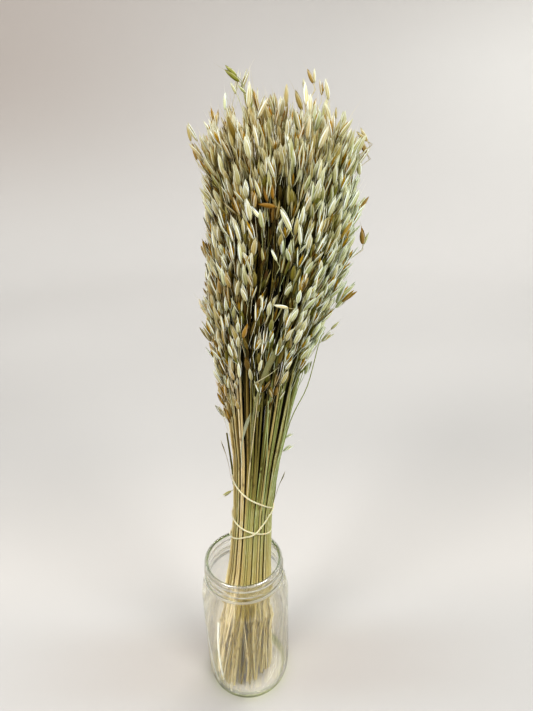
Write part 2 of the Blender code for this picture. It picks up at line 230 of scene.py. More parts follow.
# The sprays: (azimuth, root height, tip height, tip's distance from the middle)
SPRAYS = (
    (168, 0.592, 0.643, 0.032),
    (-10, 0.588, 0.636, 0.039),
    (188, 0.550, 0.608, 0.074),
    (172, 0.535, 0.589, 0.073),
    (197, 0.575, 0.620, 0.055),
    (-4, 0.538, 0.595, 0.073),
    (9, 0.488, 0.544, 0.079),
    (-9, 0.415, 0.468, 0.072),
    (176, 0.402, 0.455, 0.066),
    (188, 0.385, 0.438, 0.058),
    (60, 0.575, 0.628, 0.058),
    (72, 0.480, 0.535, 0.079),
    (48, 0.400, 0.450, 0.066),
    (112, 0.570, 0.624, 0.056),
    (128, 0.500, 0.556, 0.078),
    (118, 0.395, 0.446, 0.064),
    (236, 0.585, 0.634, 0.040),
    (300, 0.585, 0.634, 0.036),
)

# Single spikelets that lie or stand apart: (foot, tip, greenness, rust, light, shape), with a foot or tip as
# (azimuth, distance from the middle in mm, height in mm)
STRAYS = (
    ((180, 31, 636), (180, 44, 646), 0.95, 0.1, 0.56, 4),
    ((180, 33, 640), (180, 42, 648), 0.95, 0.1, 0.6, 0),
    ((180, 44, 615), (180, 43, 631), 0.7, 0.0, 1.15, 4),
    ((180, 22, 617), (180, 21, 631), 0.9, 0.2, 0.7, 4),
    ((180, 6, 617), (180, 9, 626), 0.3, 0.4, 0.9, 5),
    ((180, 6, 617), (180, 12, 620), 0.3, 0.6, 0.8, 1),
    ((0, 20, 613), (0, 14, 629), 0.3, 0.5, 0.75, 4),
    ((0, 48, 606), (0, 48, 616), 0.3, 0.4, 0.9, 4),
    ((0, 53, 590), (0, 47, 597), 0.2, 0.9, 0.85, 2),
    ((0, 69, 561), (0, 67, 580), 0.6, 0.1, 1.05, 1),
    ((180, 34, 627), (180, 39, 637), 0.6, 0.0, 0.95, 1),
    ((180, 26, 627), (180, 33, 634), 0.95, 0.1, 0.8, 4),
    ((0, 29, 633), (0, 24, 644), 0.2, 0.75, 0.9, 4),
    ((0, 30, 633), (0, 30, 645), 0.3, 0.0, 1.0, 0),
    ((0, 36, 624), (0, 37, 637), 0.2, 0.4, 1.1, 3),
    ((0, 22, 628), (0, 21, 637), 0.4, 0.2, 0.95, 1),
    ((180, 74, 592), (180, 76, 607), 0.35, 0.45, 0.85, 1),
    ((180, 70, 577), (180, 73, 590), 0.1, 0.8, 0.85, 0),
    ((180, 62, 580), (180, 65, 594), 0.2, 0.5, 0.9, 1),
    ((180, 54, 602), (180, 56, 618), 0.1, 0.75, 0.95, 6),
    ((180, 53, 602), (180, 49, 617), 0.2, 0.55, 1.0, 6),
    ((0, 75, 588), (0, 65, 596), 0.25, 0.5, 0.9, 1),
    ((0, 75, 588), (0, 67, 592), 0.25, 0.6, 0.85, 0),
    ((0, 75, 588), (0, 69, 598), 0.25, 0.4, 0.9, 0),
    ((0, 75, 578), (0, 68, 587), 0.2, 0.75, 0.85, 0),
    ((0, 75, 578), (0, 70, 589), 0.2, 0.6, 0.8, 0),
    ((0, 62, 567), (0, 67, 581), 0.2, 0.7, 0.9, 4),
    ((0, 70, 532), (0, 78, 544), 0.15, 0.8, 0.85, 1),
    ((0, 76, 502), (0, 72, 522), 0.15, 0.85, 0.85, 6),
    ((0, 77, 502), (0, 80, 514), 0.9, 0.1, 0.9, 0),
    ((0, 62, 448), (0, 72, 472), 0.85, 0.0, 1.1, 2),
    ((0, 65, 455), (0, 75, 465), 0.9, 0.0, 0.9, 1),
    ((0, 62, 423), (0, 69, 431), 0.7, 0.25, 0.95, 4),
    ((0, 55, 411), (0, 65, 421), 0.75, 0.2, 1.0, 5),
    ((180, 55, 446), (180, 66, 448), 0.6, 0.2, 0.85, 0),
    ((180, 55, 446), (180, 65, 455), 0.6, 0.2, 0.9, 0),
    ((180, 55, 424), (180, 57, 442), 0.1, 0.7, 0.85, 0),
    ((180, 24, 247), (180, 34, 240), 0.75, 0.2, 0.75, 5),
    ((0, 28, 308), (0, 37, 315), 0.85, 0.0, 1.1, 5),
    ((0, 27, 293), (0, 36, 300), 0.85, 0.0, 1.1, 5),
    ((281, 60, 465), (269, 60, 468), 0.3, 0.1, 1.0, 0),
    ((265, 62, 546), (252, 62, 548), 0.15, 1.0, 0.68, 0),
    ((263, 60, 551), (262, 59, 567), 0.1, 1.0, 0.8, 1),
    ((259, 60, 549), (256, 60, 561), 0.1, 0.9, 0.6, 0),
    ((254, 62, 537), (245, 61, 547), 0.4, 0.0, 1.15, 0),
    ((276, 62, 527), (268, 61, 546), 0.55, 0.0, 1.02, 1),
    ((267, 61, 504), (262, 61, 513), 0.6, 0.0, 1.1, 1),
)

# Where the branch of a stray spikelet starts: at a share of its distance, and so many mm below it. The husks
# of those that open further than OPEN_FROM face another way than the rest
STRAY_ROOT, STRAY_BRANCH_RISE = 0.72, 26
OPEN_FROM = 0.15
OPEN_FACING, CLOSED_FACING = Vector((1, 0.35, 0)), Vector((0.4, 1, 0))

# Straws apart from the rest: (stations as (azimuth, distance in mm, height in mm), girth, greenness, light,
# how bleached)
STRAY_STRAWS = (
    (((196, 31, 78), (206, 32, 54), (217, 33, 30), (228, 34, 8)), 1.3, 0.2, 1.2, 1.0),
    (
        ((-6, 19, 225), (-3, 22, 266), (0, 32, 327), (0, 46, 365), (0, 53, 411), (0, 56, 420)),
        0.6,
        0.95,
        0.8,
        0.0,
    ),
    (((180, 22, 255), (180, 24, 270), (180, 28, 292), (180, 32, 316)), 1.2, 0.75, 0.36, 0.0),
    (((-2, 19, 222), (-2, 22, 240), (0, 22, 262), (2, 21, 275)), 1.2, 0.9, 0.5, 0.0),
    (((318, 21, 240), (320, 26, 285), (327, 35, 345), (331, 44, 392)), 0.55, 1.0, 0.9, 0.12),
    (((332, 20, 235), (330, 25, 285), (322, 33, 338), (312, 41, 380)), 0.6, 0.9, 0.9, 0.15),
    (((298, 20, 235), (292, 26, 285), (284, 34, 330), (279, 41, 372)), 0.5, 1.0, 0.9, 0.15),
    (((250, 20, 240), (253, 25, 285), (260, 32, 325), (266, 42, 385)), 0.6, 0.1, 0.95, 0.15),
)

BLADE_STEPS, STRAW_STEPS = 6, 5
BLADE_THICKNESS = 0.0003
BLADE_FOLD = 0.35

# Section of a blade: (share of its half width, of its fold's height, of half its thickness)
BLADE_CORNERS = ((-1, 1, 0), (0, 0, 1), (1, 1, 0), (1, 1, -1), (0, 0, -1), (-1, 1, -1))

# Dry blades: (stations as (azimuth, distance in mm, height in mm), widest in mm, greenness, light)
BLADES = (
    (((257, 29, 300), (260, 39.5, 350), (266, 45.5, 384), (273, 50, 408), (281, 53, 432)), 5.6, 1.0, 0.60),
    (((236, 27, 290), (240, 32.5, 314), (248, 37, 338), (257, 41, 360)), 3.6, 0.9, 1.05),
    (((285, 50, 408), (276, 50, 402), (266, 49, 396), (260, 47, 391)), 1.8, 0.5, 0.95),
    (((184, 25, 262), (186, 29, 282), (188, 34, 300), (190, 38, 312)), 3.5, 0.3, 0.8),
    (((352, 22, 232), (352, 25, 250), (352, 28, 262), (352, 31, 272)), 4.5, 0.8, 0.7),
    (((100, 32, 316), (99, 40, 340), (98, 46, 362), (97, 49, 378)), 5.0, 0.6, 0.9),
    (((40, 28, 300), (42, 36, 330), (44, 42, 352), (46, 50, 366)), 4.0, 0.7, 0.9),
)


def linear(red, green, blue):
    """A colour as shaders take it, from its usual 0 to 255 numbers."""
    return tuple(
        (value / 255 / 12.92) if value <= 10 else ((value / 255 + 0.055) / 1.055) ** 2.4
        for value in (red, green, blue)
    )


def bounded(value):
    return min(1.0, max(0.0, value))


def rise(value, low, high):
    """0 up to low, 1 from high, smooth between them."""
    value = bounded((value - low) / (high - low))
    return value * value * (3 - 2 * value)


def bell(azimuth, middle_azimuth, half_width):
    """1 at a middle azimuth, and less and less to both sides of it."""
    off = (azimuth - middle_azimuth + math.pi) % (2 * math.pi) - math.pi
    return math.exp(-((off / half_width) ** 2))


# Settings that a user would change


def length(name, description, default):
    return FloatProperty(
        name=name, description=description, default=default, min=0.0, unit="LENGTH", precision=5
    )


def share(name, description, default, high=1.0):
    return FloatProperty(name=name, description=description, default=default, min=0.0, max=high)


def colour(name, description, *shade):
    return FloatVectorProperty(
        name=name, description=description, default=linear(*shade), subtype="COLOR", size=3, min=0.0, max=1.0
    )


class JarSettings(bpy.types.PropertyGroup):
    """Sizes and colours of the glass jar"""

    steps: IntProperty(name="Steps", description="Sides of the turned shape", default=144, min=16)
    thread_height: length("Thread height", "How far the screw thread stands out of the neck", 0.0013)
    waviness: length("Waviness", "Depth of the hollows in the pressed wall", 0.00012)
    tint: colour("Tint", "Colour of a clean wall", 255, 253, 250)
    edge_tint: colour("Edge tint", "Colour of the neck's ring and the foot", 150, 172, 62)
    # A dark green line painted on the lip's inner edge: partly the green of thick glass, partly painted shade
    lip_tint_and_shade: colour("Lip tint", "Colour of the lip's inner edge", 70, 104, 12)
    depth_tint: colour("Depth tint", "Colour that thick glass takes on", 196, 226, 184)


class BandSettings(bpy.types.PropertyGroup):
    """Sizes and colours of the rubber band"""

    radius: length("Radius", "Half the band's thickness", 0.00095)
    colour: colour("Colour", "The latex", 208, 203, 170)
    aged: colour("Aged colour", "Patches of older latex", 200, 186, 138)


class OatSettings(bpy.types.PropertyGroup):
    """Sizes and colours of the oat plants"""

    seed: IntProperty(name="Seed", description="Start of every random draw", default=7)
    stem_radius: length("Stem radius", "Half a stem's thickness at the tie", 0.00104)
    stem_sides: IntProperty(name="Stem sides", description="Sides of a stem", default=7, min=3)
    branch_radius: length("Branch radius", "Half a branch's thickness", 0.00026)
    spikelet_length: length("Spikelet length", "From its foot to the tip of its husks", 0.0178)
    spikelet_girth: share("Spikelet girth", "Width against its usual width", 1.0, 3.0)
    size_spread: share("Size spread", "How unlike the spikelets are in size", 0.12)
    gold: colour("Gold husk", "Ripe husks, on the left and the top", 208, 162, 12)
    green: colour("Green husk", "Husks cut green, on the right", 162, 186, 16)
    faded: colour("Faded husk", "Husks bleached by the light", 216, 202, 124)
    olive: colour("Olive husk", "Shaded side of a husk", 112, 98, 2)
    # Also the colour of the painted highlights on the husks
    pale: colour("Pale husk", "Papery margins and tips", 244, 250, 240)
    rust: colour("Rust floret", "Dark florets between the husks", 152, 112, 6)
    straw: colour("Straw", "Ripe stems", 224, 202, 148)
    green_straw: colour("Green straw", "Stems cut green", 166, 184, 120)
    brown_straw: colour("Brown straw", "Stems that have weathered", 170, 130, 62)
    pale_straw: colour("Pale straw", "Foot of the stems, inside the jar", 255, 234, 186)
    leaf: colour("Leaf", "Dry blades", 166, 176, 138)
    awn: colour("Awn", "The long bristles", 238, 236, 222)
    joint: colour("Joint", "Rings round the stems", 116, 92, 44)


class StageSettings(bpy.types.PropertyGroup):
    """Floor, backdrop, lights and camera"""

    floor: colour("Floor", "Pale paper near the camera", 182, 180, 177)
    # A painted pool of light on the paper just behind the jar
    bright: colour("Bright floor", "Pale paper just behind the jar", 191, 188, 184)
    far_floor: colour("Far floor", "Pale paper further back", 183, 181, 178)
    # The wall is painted lighter than the floor, and the same colour paints light on the far floor and its
    # left corner
    wall: colour("Wall", "The paper where it stands up", 202, 200, 197)
    # Painted shade on the wall's left and top
    wall_left_shade: colour("Left wall", "The wall's duller left and top", 180, 172, 166)
    # Painted light on the wall's right
    wall_right_light: colour("Right wall", "The wall's brighter right", 226, 225, 222)
    # A painted shadow on the paper round the jar's foot
    painted_jar_shadow: colour("Dim paper", "The paper round the jar's foot", 164, 156, 149)
    key_power: FloatProperty(
        name="Key power", description="Power of each soft light", default=26.2, unit="POWER"
    )
    sky: share("Sky", "Strength of the light from all round", 0.71, 10.0)


# Writing node trees


class Value:
    """An output of a node. Arithmetic on it adds the Math nodes that it needs."""

    def __init__(self, graph, socket):
        self.graph = graph
        self.socket = socket

    def __add__(self, other):
        return self.graph.math("ADD", self, other)

    def __sub__(self, other):
        return self.graph.math("SUBTRACT", self, other)

    def __rsub__(self, other):
        return self.graph.math("SUBTRACT", other, self)

    def __mul__(self, other):
        return self.graph.math("MULTIPLY", self, other)

    __radd__ = __add__
    __rmul__ = __mul__

    def __abs__(self):
        return self.graph.math("ABSOLUTE", self)

    def between(self, low, high):
        """0 up to low, 1 from high, smooth between them."""
        inputs = {"Value": self, "From Min": low, "From Max": high}
        return self.graph.add("ShaderNodeMapRange", {"interpolation_type": "SMOOTHSTEP"}, inputs)


def four(shade):
    """A colour with its alpha. What a node gives stays as it is."""
    return shade if isinstance(shade, Value) else (*shade, 1.0)


class Graph:
    """A node tree while it is written."""

    def __init__(self, tree):
        self.tree = tree
        tree.nodes.clear()

    @staticmethod
    def find(sockets, key):
        if isinstance(key, int):
            return sockets[key]
        return next(socket for socket in sockets if key in (socket.identifier, socket.name))

    def add(self, kind, settings=None, inputs=None, output=0):
        """A node of this kind with its settings, then with the values or links of its sockets."""
        node = self.tree.nodes.new(kind)
        for name, setting in (settings or {}).items():
            setattr(node, name, setting)
        for key, given in (inputs or {}).items():
            socket = self.find(node.inputs, key)
            if isinstance(given, Value):
                self.tree.links.new(given.socket, socket)
            else:
                socket.default_value = given
        return Value(self, self.find(node.outputs, output)) if node.outputs else node

    def math(self, operation, *values):
        return self.add("ShaderNodeMath", {"operation": operation}, dict(enumerate(values)))

    def mix(self, factor, first, second, blend="MIX"):
        """One colour over another."""
        settings = {"data_type": "RGBA", "blend_type": blend}
        inputs = {"Factor_Float": factor, "A_Color": four(first), "B_Color": four(second)}
        return self.add("ShaderNodeMix", settings, inputs, "Result_Color")

    def parts(self, vector):
        """The three numbers of a vector."""
        split = self.add("ShaderNodeSeparateXYZ", None, {"Vector": vector})
        return [Value(self, socket) for socket in split.socket.node.outputs]

    def shade(self, colour, light):
        """A colour in less light, which turns it warmer as it turns it darker."""
        light = light * (light.between(0.0, 0.6) * 0.7 + 0.3)
        inputs = {"X": light, "Y": light * (light * 0.22 + 0.78), "Z": light * light}
        return self.mix(1.0, colour, self.add("ShaderNodeCombineXYZ", None, inputs), "MULTIPLY")

    def stretched(self, vector, scale):
        """A pattern's coordinates, stretched along each axis."""
        return self.add("ShaderNodeMapping", None, {"Vector": vector, "Scale": scale})

    def noise(self, vector, scale, detail=2.0):
        inputs = {"Vector": vector, "Scale": scale, "Detail": detail}
        return self.add("ShaderNodeTexNoise", None, inputs, "Fac")

    def place(self):
        """A point's place on the object."""
        return self.add("ShaderNodeTexCoord", None, None, "Object")

    def attribute(self, name):
        return self.add("ShaderNodeAttribute", {"attribute_name": name}, None, "Fac")

    def grain(self):
        """A point's place across the grain and along it, each from 0 to 1."""
        return self.parts(self.add("ShaderNodeUVMap", {"uv_map": "grain"}))[:2]

    def waves(self, value, count):
        """Between 0 and 1, up and down so many times while the value goes from 0 to 1."""
        return self.math("SINE", value * (2 * math.pi * count)) * 0.5 + 0.5


BUMP_STRENGTH, BUMP_DISTANCE = 0.6, 0.0004


def new_material(name, write, **constants):
    """A material with a Principled shader: its constants, and what write(graph) gives, inputs and height."""
    material = bpy.data.materials.new(name)
    material.use_nodes = True
    graph = Graph(material.node_tree)
    inputs = {key.replace("_", " "): value for key, value in constants.items()}
    written, height = write(graph)
    inputs.update(written)
    if height is not None:
        bump = {"Strength": BUMP_STRENGTH, "Distance": BUMP_DISTANCE, "Height": height}
        inputs["Normal"] = graph.add("ShaderNodeBump", None, bump)
    shader = graph.add("ShaderNodeBsdfPrincipled", None, inputs)
    graph.add("ShaderNodeOutputMaterial", None, {"Surface": shader})
    return material


def new_group(name):
    """An empty geometry tree, as a graph."""
    return Graph(bpy.data.node_groups.new(name, "GeometryNodeTree"))


def take_inputs(graph, *wanted):
    """Names a geometry tree's inputs, and gives them as values: (name, type, default)."""
    for name, kind, default in (("Geometry", "Geometry", None), *wanted):
        socket = graph.tree.interface.new_socket(name=name, in_out="INPUT", socket_type="NodeSocket" + kind)
        if default is not None:
            socket.default_value = default
    entry = graph.tree.nodes.new("NodeGroupInput")
    return [Value(graph, socket) for socket in entry.outputs if socket.name]


def give_output(graph, geometry):
    graph.tree.interface.new_socket(name="Geometry", in_out="OUTPUT", socket_type="NodeSocketGeometry")
    graph.add("NodeGroupOutput", None, {"Geometry": geometry})


def named(graph, name, kind="FLOAT"):
    """A named attribute, inside a geometry tree."""
    return graph.add("GeometryNodeInputNamedAttribute", {"data_type": kind}, {"Name": name})


# Making objects


def link(name, data):
    obj = bpy.data.objects.new(name, data)
    bpy.context.scene.collection.objects.link(obj)
    return obj


def mesh_of(shape, name):
    """A bmesh made a mesh, and freed."""
    mesh = bpy.data.meshes.new(name)
    shape.to_mesh(mesh)
    shape.free()
    return mesh


def grown(name, mesh, tree, **inputs):
    """A plain object from a mesh and a geometry tree with its inputs, given by their names."""
    source = link(name + "_source", mesh)
    modifier = source.modifiers.new("grow", "NODES")
    modifier.node_group = tree
    for item in tree.interface.items_tree:
        key = item.name.lower().replace(" ", "_")
        if item.in_out == "INPUT" and key in inputs:
            modifier[item.identifier] = inputs[key]
    bpy.context.view_layer.update()
    result = source.evaluated_get(bpy.context.evaluated_depsgraph_get())
    plain = bpy.data.meshes.new_from_object(result)
    bpy.data.objects.remove(source)
    plain.name = name
    return link(name, plain)


def stand_for(obj, slot, *nodes):
    """Puts a finished piece on the root body that it rides on, and hides the solids that it replaces. The
    slot is not used.
    """
    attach(obj, "root")
    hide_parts(*nodes)


def turned(name, outline, steps, bend=None):
    """A shape turned from an outline that runs from the axis out and back to it. bend moves each point."""
    shape = bmesh.new()
    rings = []
    for radius, height in outline:
        if radius == 0:
            rings.append([shape.verts.new((0, 0, height))] * steps)
            continue
        ring = []
        for i in range(steps):
            angle = 2 * math.pi * i / steps
            r, z = bend(radius, height, angle) if bend else (radius, height)
            ring.append(shape.verts.new((r * math.cos(angle), r * math.sin(angle), z)))
        rings.append(ring)
    for low, high in zip(rings, rings[1:]):
        for i in range(steps):
            j = (i + 1) % steps
            corners = list(dict.fromkeys((low[i], low[j], high[j], high[i])))
            shape.faces.new(corners)
    for face in shape.faces:
        face.smooth = True
    bmesh.ops.recalc_face_normals(shape, faces=shape.faces)
    return link(name, mesh_of(shape, name))


def through(points, steps):
    """A smooth line through the points, with so many steps between two of them."""
    points = [Vector(point) for point in points]
    ends = [2 * points[0] - points[1], *points, 2 * points[-1] - points[-2]]
    line = []
    for a, b, c, d in zip(ends, ends[1:], ends[2:], ends[3:]):
        for i in range(steps):
            t = i / steps
            bow = (2 * a - 5 * b + 4 * c - d) * t * t + (3 * b - 3 * c + d - a) * t**3
            line.append(0.5 * (2 * b + (c - a) * t + bow))
    return [*line, points[-1]]


# Places in the bunch


def middle(z):
    """The bunch's middle at a height."""
    return Vector((float(np.interp(z, HEIGHT, MIDDLE_X)), LEAN_BACK_AT_FLOOR + LEAN_BACK * z, z))


def reach_at(z):
    """The distance from the middle to the outside of the stems, or of the heads."""
    return float(np.interp(z, HEIGHT, REACH))


def fan_reach(z):
    """As reach_at, but the plants go on straight up where the heads close."""
    return reach_at(min(z, WIDEST_AT))


def crown_height(reach):
    """The height of the crown of the heads at a distance from the middle."""
    top = [(r, z) for z, _, r in reversed(LEVELS) if z >= WIDEST_AT]
    return float(np.interp(reach, [r for r, _ in top], [z for _, z in top]))


def outward(azimuth):
    return Vector((math.cos(azimuth), math.sin(azimuth), 0))


def in_bunch(azimuth, reach, z):
    return middle(z) + outward(azimuth) * reach


def growth(azimuth, reach, z):
    """The way the plants run at a place, from the bunch's own lean and the fan above its tie."""
    lean = (middle(z + LEAN_STEP) - middle(z - LEAN_STEP)) / (2 * LEAN_STEP)
    return (lean + outward(azimuth) * (reach / max(z - FAN_START, LEAST_FAN))).normalized()


def cleft(azimuth, z):
    """How deep in the dark cleft a place is, from 0 to 1. The cleft winds as it goes up."""
    winding = CLEFT_WINDING * math.sin((z - CLEFT_FROM) * CLEFT_WINDS)
    along = rise(min(z - CLEFT_FROM, CLEFT_TO - z), 0, CLEFT_FADE)
    return bell(azimuth, CLEFT_AZIMUTH + winding, CLEFT_HALF_WIDTH) * along


# Jar

# Half of the jar's section, (radius, height): underside, foot, wall, shoulder, neck, lip, and down inside
JAR_OUTLINE = (
    (0.0, 0.0018),
    (0.0200, 0.0016),
    (0.0330, 0.0010),
    (0.0385, 0.0),
    (0.0425, 0.0011),
    (0.0455, 0.0060),
    (0.0470, 0.0160),
    (0.0477, 0.0300),
    (0.0480, 0.0700),
    (0.0484, 0.1200),
    (0.0481, 0.1300),
    (0.0464, 0.1385),
    (0.0442, 0.1445),
    (0.0429, 0.1483),
    (0.0436, 0.1497),
    (0.0436, 0.1522),
    (0.0424, 0.1540),
    (0.0423, 0.1580),
    (0.0424, 0.1630),
    (0.0425, 0.1680),
    (0.0423, 0.1706),
    (0.0412, 0.1720),
    (0.0397, 0.1719),
    (0.0386, 0.1706),
    (0.0382, 0.1660),
    (0.0382, 0.1540),
    (0.0393, 0.1460),
    (0.0421, 0.1370),
    (0.0446, 0.1275),
    (0.0454, 0.1160),
    (0.0452, 0.0650),
    (0.0446, 0.0260),
    (0.0431, 0.0120),
    (0.0404, 0.0068),
    (0.0355, 0.0052),
    (0.0180, 0.0050),
    (0.0, 0.0054),
)
OUTLINE_STEPS = 4
NECK_FROM, NECK_TO = 0.1545, 0.1715
WALL_FROM, WALL_TO, WALL_FADE = 0.02, 0.135, 0.02
HOLLOW_RISE, HOLLOW_SCALE, HOLLOW_SHIFT = 9, 1.5, 900
OUTSIDE_OF_NECK, OUTSIDE_OF_WALL = 0.0412, 0.0440
THREAD_START = math.radians(205)
THREAD_TOP = 0.1672
THREAD_PITCH = 0.0080
THREAD_TURNS = 1.30
THREAD_RUN_OUT = 0.06
THREAD_HALF_WIDTH = 0.0013

# Where the glass is tinted, where its lip has a painted dark edge, and where highlights are painted on its
# rim and on the neck's ring and thread, as spans of height or of distance from the axis
LIP_SPAN, LIP_INSIDE = (0.1700, 0.1708), (0.0396, 0.0404)
RING_HEIGHT, RING_FADE, RING_OUTSIDE = 0.1530, (0.0003, 0.0012), (0.0422, 0.0428)
FOOT_FADE, FOOT_OUTSIDE = (0.0090, 0.0150), (0.0385, 0.0430)
RIM_HIGHLIGHT_OUTSIDE = (0.0410, 0.0414)
BEAD_HIGHLIGHT_OUTSIDE, BEAD_HIGHLIGHT_FROM, BEAD_HIGHLIGHT_TO = (0.0429, 0.0432), (0.1480, 0.1490), (0.1690, 0.1700)
GLASS_ALPHA = 0.74
GLASS_DENSITY = 7.0


def thread(angle, z):
    """How much of the screw thread's height stands at a place on the neck, from 0 to 1."""
    best = 0.0
    for turn in range(3):
        along = ((angle - THREAD_START) % (2 * math.pi)) / (2 * math.pi) + turn
        if along > THREAD_TURNS:
            continue
        fade = rise(min(along, THREAD_TURNS - along), 0, THREAD_RUN_OUT)
        off = (z - THREAD_TOP + THREAD_PITCH * along) / THREAD_HALF_WIDTH
        best = max(best, fade * math.exp(-off * off))
    return best


def bend_jar(settings):
    """The thread on the neck, and the shallow hollows that pressing leaves in the wall."""

    def bend(radius, z, angle):
        if radius > OUTSIDE_OF_NECK and NECK_FROM < z < NECK_TO:
            return radius + settings.thread_height * thread(angle, z), z
        if radius < OUTSIDE_OF_WALL or not WALL_FROM < z < WALL_TO:
            return radius, z
        along = Vector((math.cos(angle), math.sin(angle), z * HOLLOW_RISE)) * HOLLOW_SCALE
        fade = rise(z, WALL_FROM, WALL_FROM + WALL_FADE) * (1 - rise(z, WALL_TO - WALL_FADE, WALL_TO))
        hollow = 0.5 + noise.noise(along + Vector((0, 0, radius * HOLLOW_SHIFT)))
        return radius - settings.waviness * fade * hollow, z

    return bend


def glass(settings):
    """Clear glass that is green in its depth. Most of the direct light goes straight through it. Its rim and
    the neck's ring and thread carry painted highlights, and its lip a painted dark green edge.
    """
    material = bpy.data.materials.new("jar_glass")
    material.use_nodes = True
    graph = Graph(material.node_tree)
    x, y, height = graph.parts(graph.place())
    reach = graph.math("SQRT", x * x + y * y)
    lip = height.between(*LIP_SPAN) * (1 - reach.between(*LIP_INSIDE))
    ring = (1 - abs(height - RING_HEIGHT).between(*RING_FADE)) * reach.between(*RING_OUTSIDE)
    foot = (1 - height.between(*FOOT_FADE)) * reach.between(*FOOT_OUTSIDE)
    # Painted highlights: the rim's outside and the outermost glass of the neck's ring and thread are whiter,
    # partly metallic and a little rough, so that they show as white lines
    rim_highlight = height.between(*LIP_SPAN) * reach.between(*RIM_HIGHLIGHT_OUTSIDE)
    bead_highlight = reach.between(*BEAD_HIGHLIGHT_OUTSIDE) * height.between(*BEAD_HIGHLIGHT_FROM) * (1 - height.between(*BEAD_HIGHLIGHT_TO))
    painted_highlight = graph.math("MAXIMUM", rim_highlight * 0.7, bead_highlight)
    edge = graph.math("MAXIMUM", ring * 0.8, foot)
    tint = graph.mix(edge, settings.tint, settings.edge_tint)
    # The lip's inner edge: partly the green of thick glass, partly a painted dark edge
    tint = graph.mix(lip, tint, settings.lip_tint_and_shade)
    inputs = {
        "Base Color": graph.mix(painted_highlight, tint, settings.tint),
        "Metallic": painted_highlight * 0.5,
        "Roughness": painted_highlight * 0.3,
        "IOR": 1.45,
        "Transmission Weight": 1.0,
        "Alpha": GLASS_ALPHA,
    }
    body = graph.add("ShaderNodeBsdfPrincipled", None, inputs)
    shadow = graph.add("ShaderNodeLightPath", None, None, "Is Shadow Ray")
    clear = graph.add("ShaderNodeBsdfTransparent")
    surface = graph.add("ShaderNodeMixShader", None, {0: shadow * 0.95, 1: body, 2: clear})
    inputs = {"Color": four(settings.depth_tint), "Density": GLASS_DENSITY}
    depth = graph.add("ShaderNodeVolumeAbsorption", None, inputs)
    graph.add("ShaderNodeOutputMaterial", None, {"Surface": surface, "Volume": depth})
    return material


# Rubber band

# (turns from the left end, height): one loop goes three times round, and crosses itself twice at the front
BAND_PATH = (
    (0.00, 0.2670),
    (0.25, 0.2497),
    (0.50, 0.2258),
    (0.75, 0.2215),
    (1.00, 0.2200),
    (1.25, 0.2108),
    (1.50, 0.1968),
    (1.75, 0.1935),
    (2.00, 0.1925),
    (2.25, 0.2085),
    (2.50, 0.2320),
    (2.75, 0.2540),
)
BAND_TURNS = 3
BAND_GAP = -0.0010
BAND_SUNK = 0.0012
BAND_POINTS_PER_TURN = 72
BAND_CROSSINGS = (2.265, 2.455)
BAND_CROSSING_REACH = 0.06
BAND_LIFT = 0.0018
BAND_SIDES = 10


def band_height(turns):
    """The band's height after so many turns, on a closed curve through its stations."""
    count = len(BAND_PATH)
    spacing = BAND_TURNS / count
    i = int(turns / spacing) % count
    t = turns / spacing - int(turns / spacing)
    before, start, end, after = (BAND_PATH[(i + n) % count][1] for n in (-1, 0, 1, 2))
    rise_in, rise_out = (end - before) / 2, (after - start) / 2
    return (
        (2 * t**3 - 3 * t**2 + 1) * start
        + (t**3 - 2 * t**2 + t) * rise_in
        + (3 * t**2 - 2 * t**3) * end
        + (t**3 - t**2) * rise_out
    )


def band_lift(turns):
    """How far the band stands off where it passes over another of its turns."""
    nearest = min(abs(turns - crossing) for crossing in BAND_CROSSINGS)
    return BAND_LIFT * (1 - rise(nearest, BAND_CROSSING_REACH / 3, BAND_CROSSING_REACH))


def latex(settings):
    def write(graph):
        place = graph.place()
        grain = graph.noise(place, 900.0, 3.0)
        patches = graph.noise(place, 90.0).between(0.35, 0.7)
        base = graph.mix(patches * 0.35, settings.colour, settings.aged)
        return {"Base Color": base, "Roughness": grain * 0.2 + 0.42}, grain

    return new_material("latex", write, Subsurface_Weight=0.15, Subsurface_Scale=0.002)


# Stems, branches and spikelets


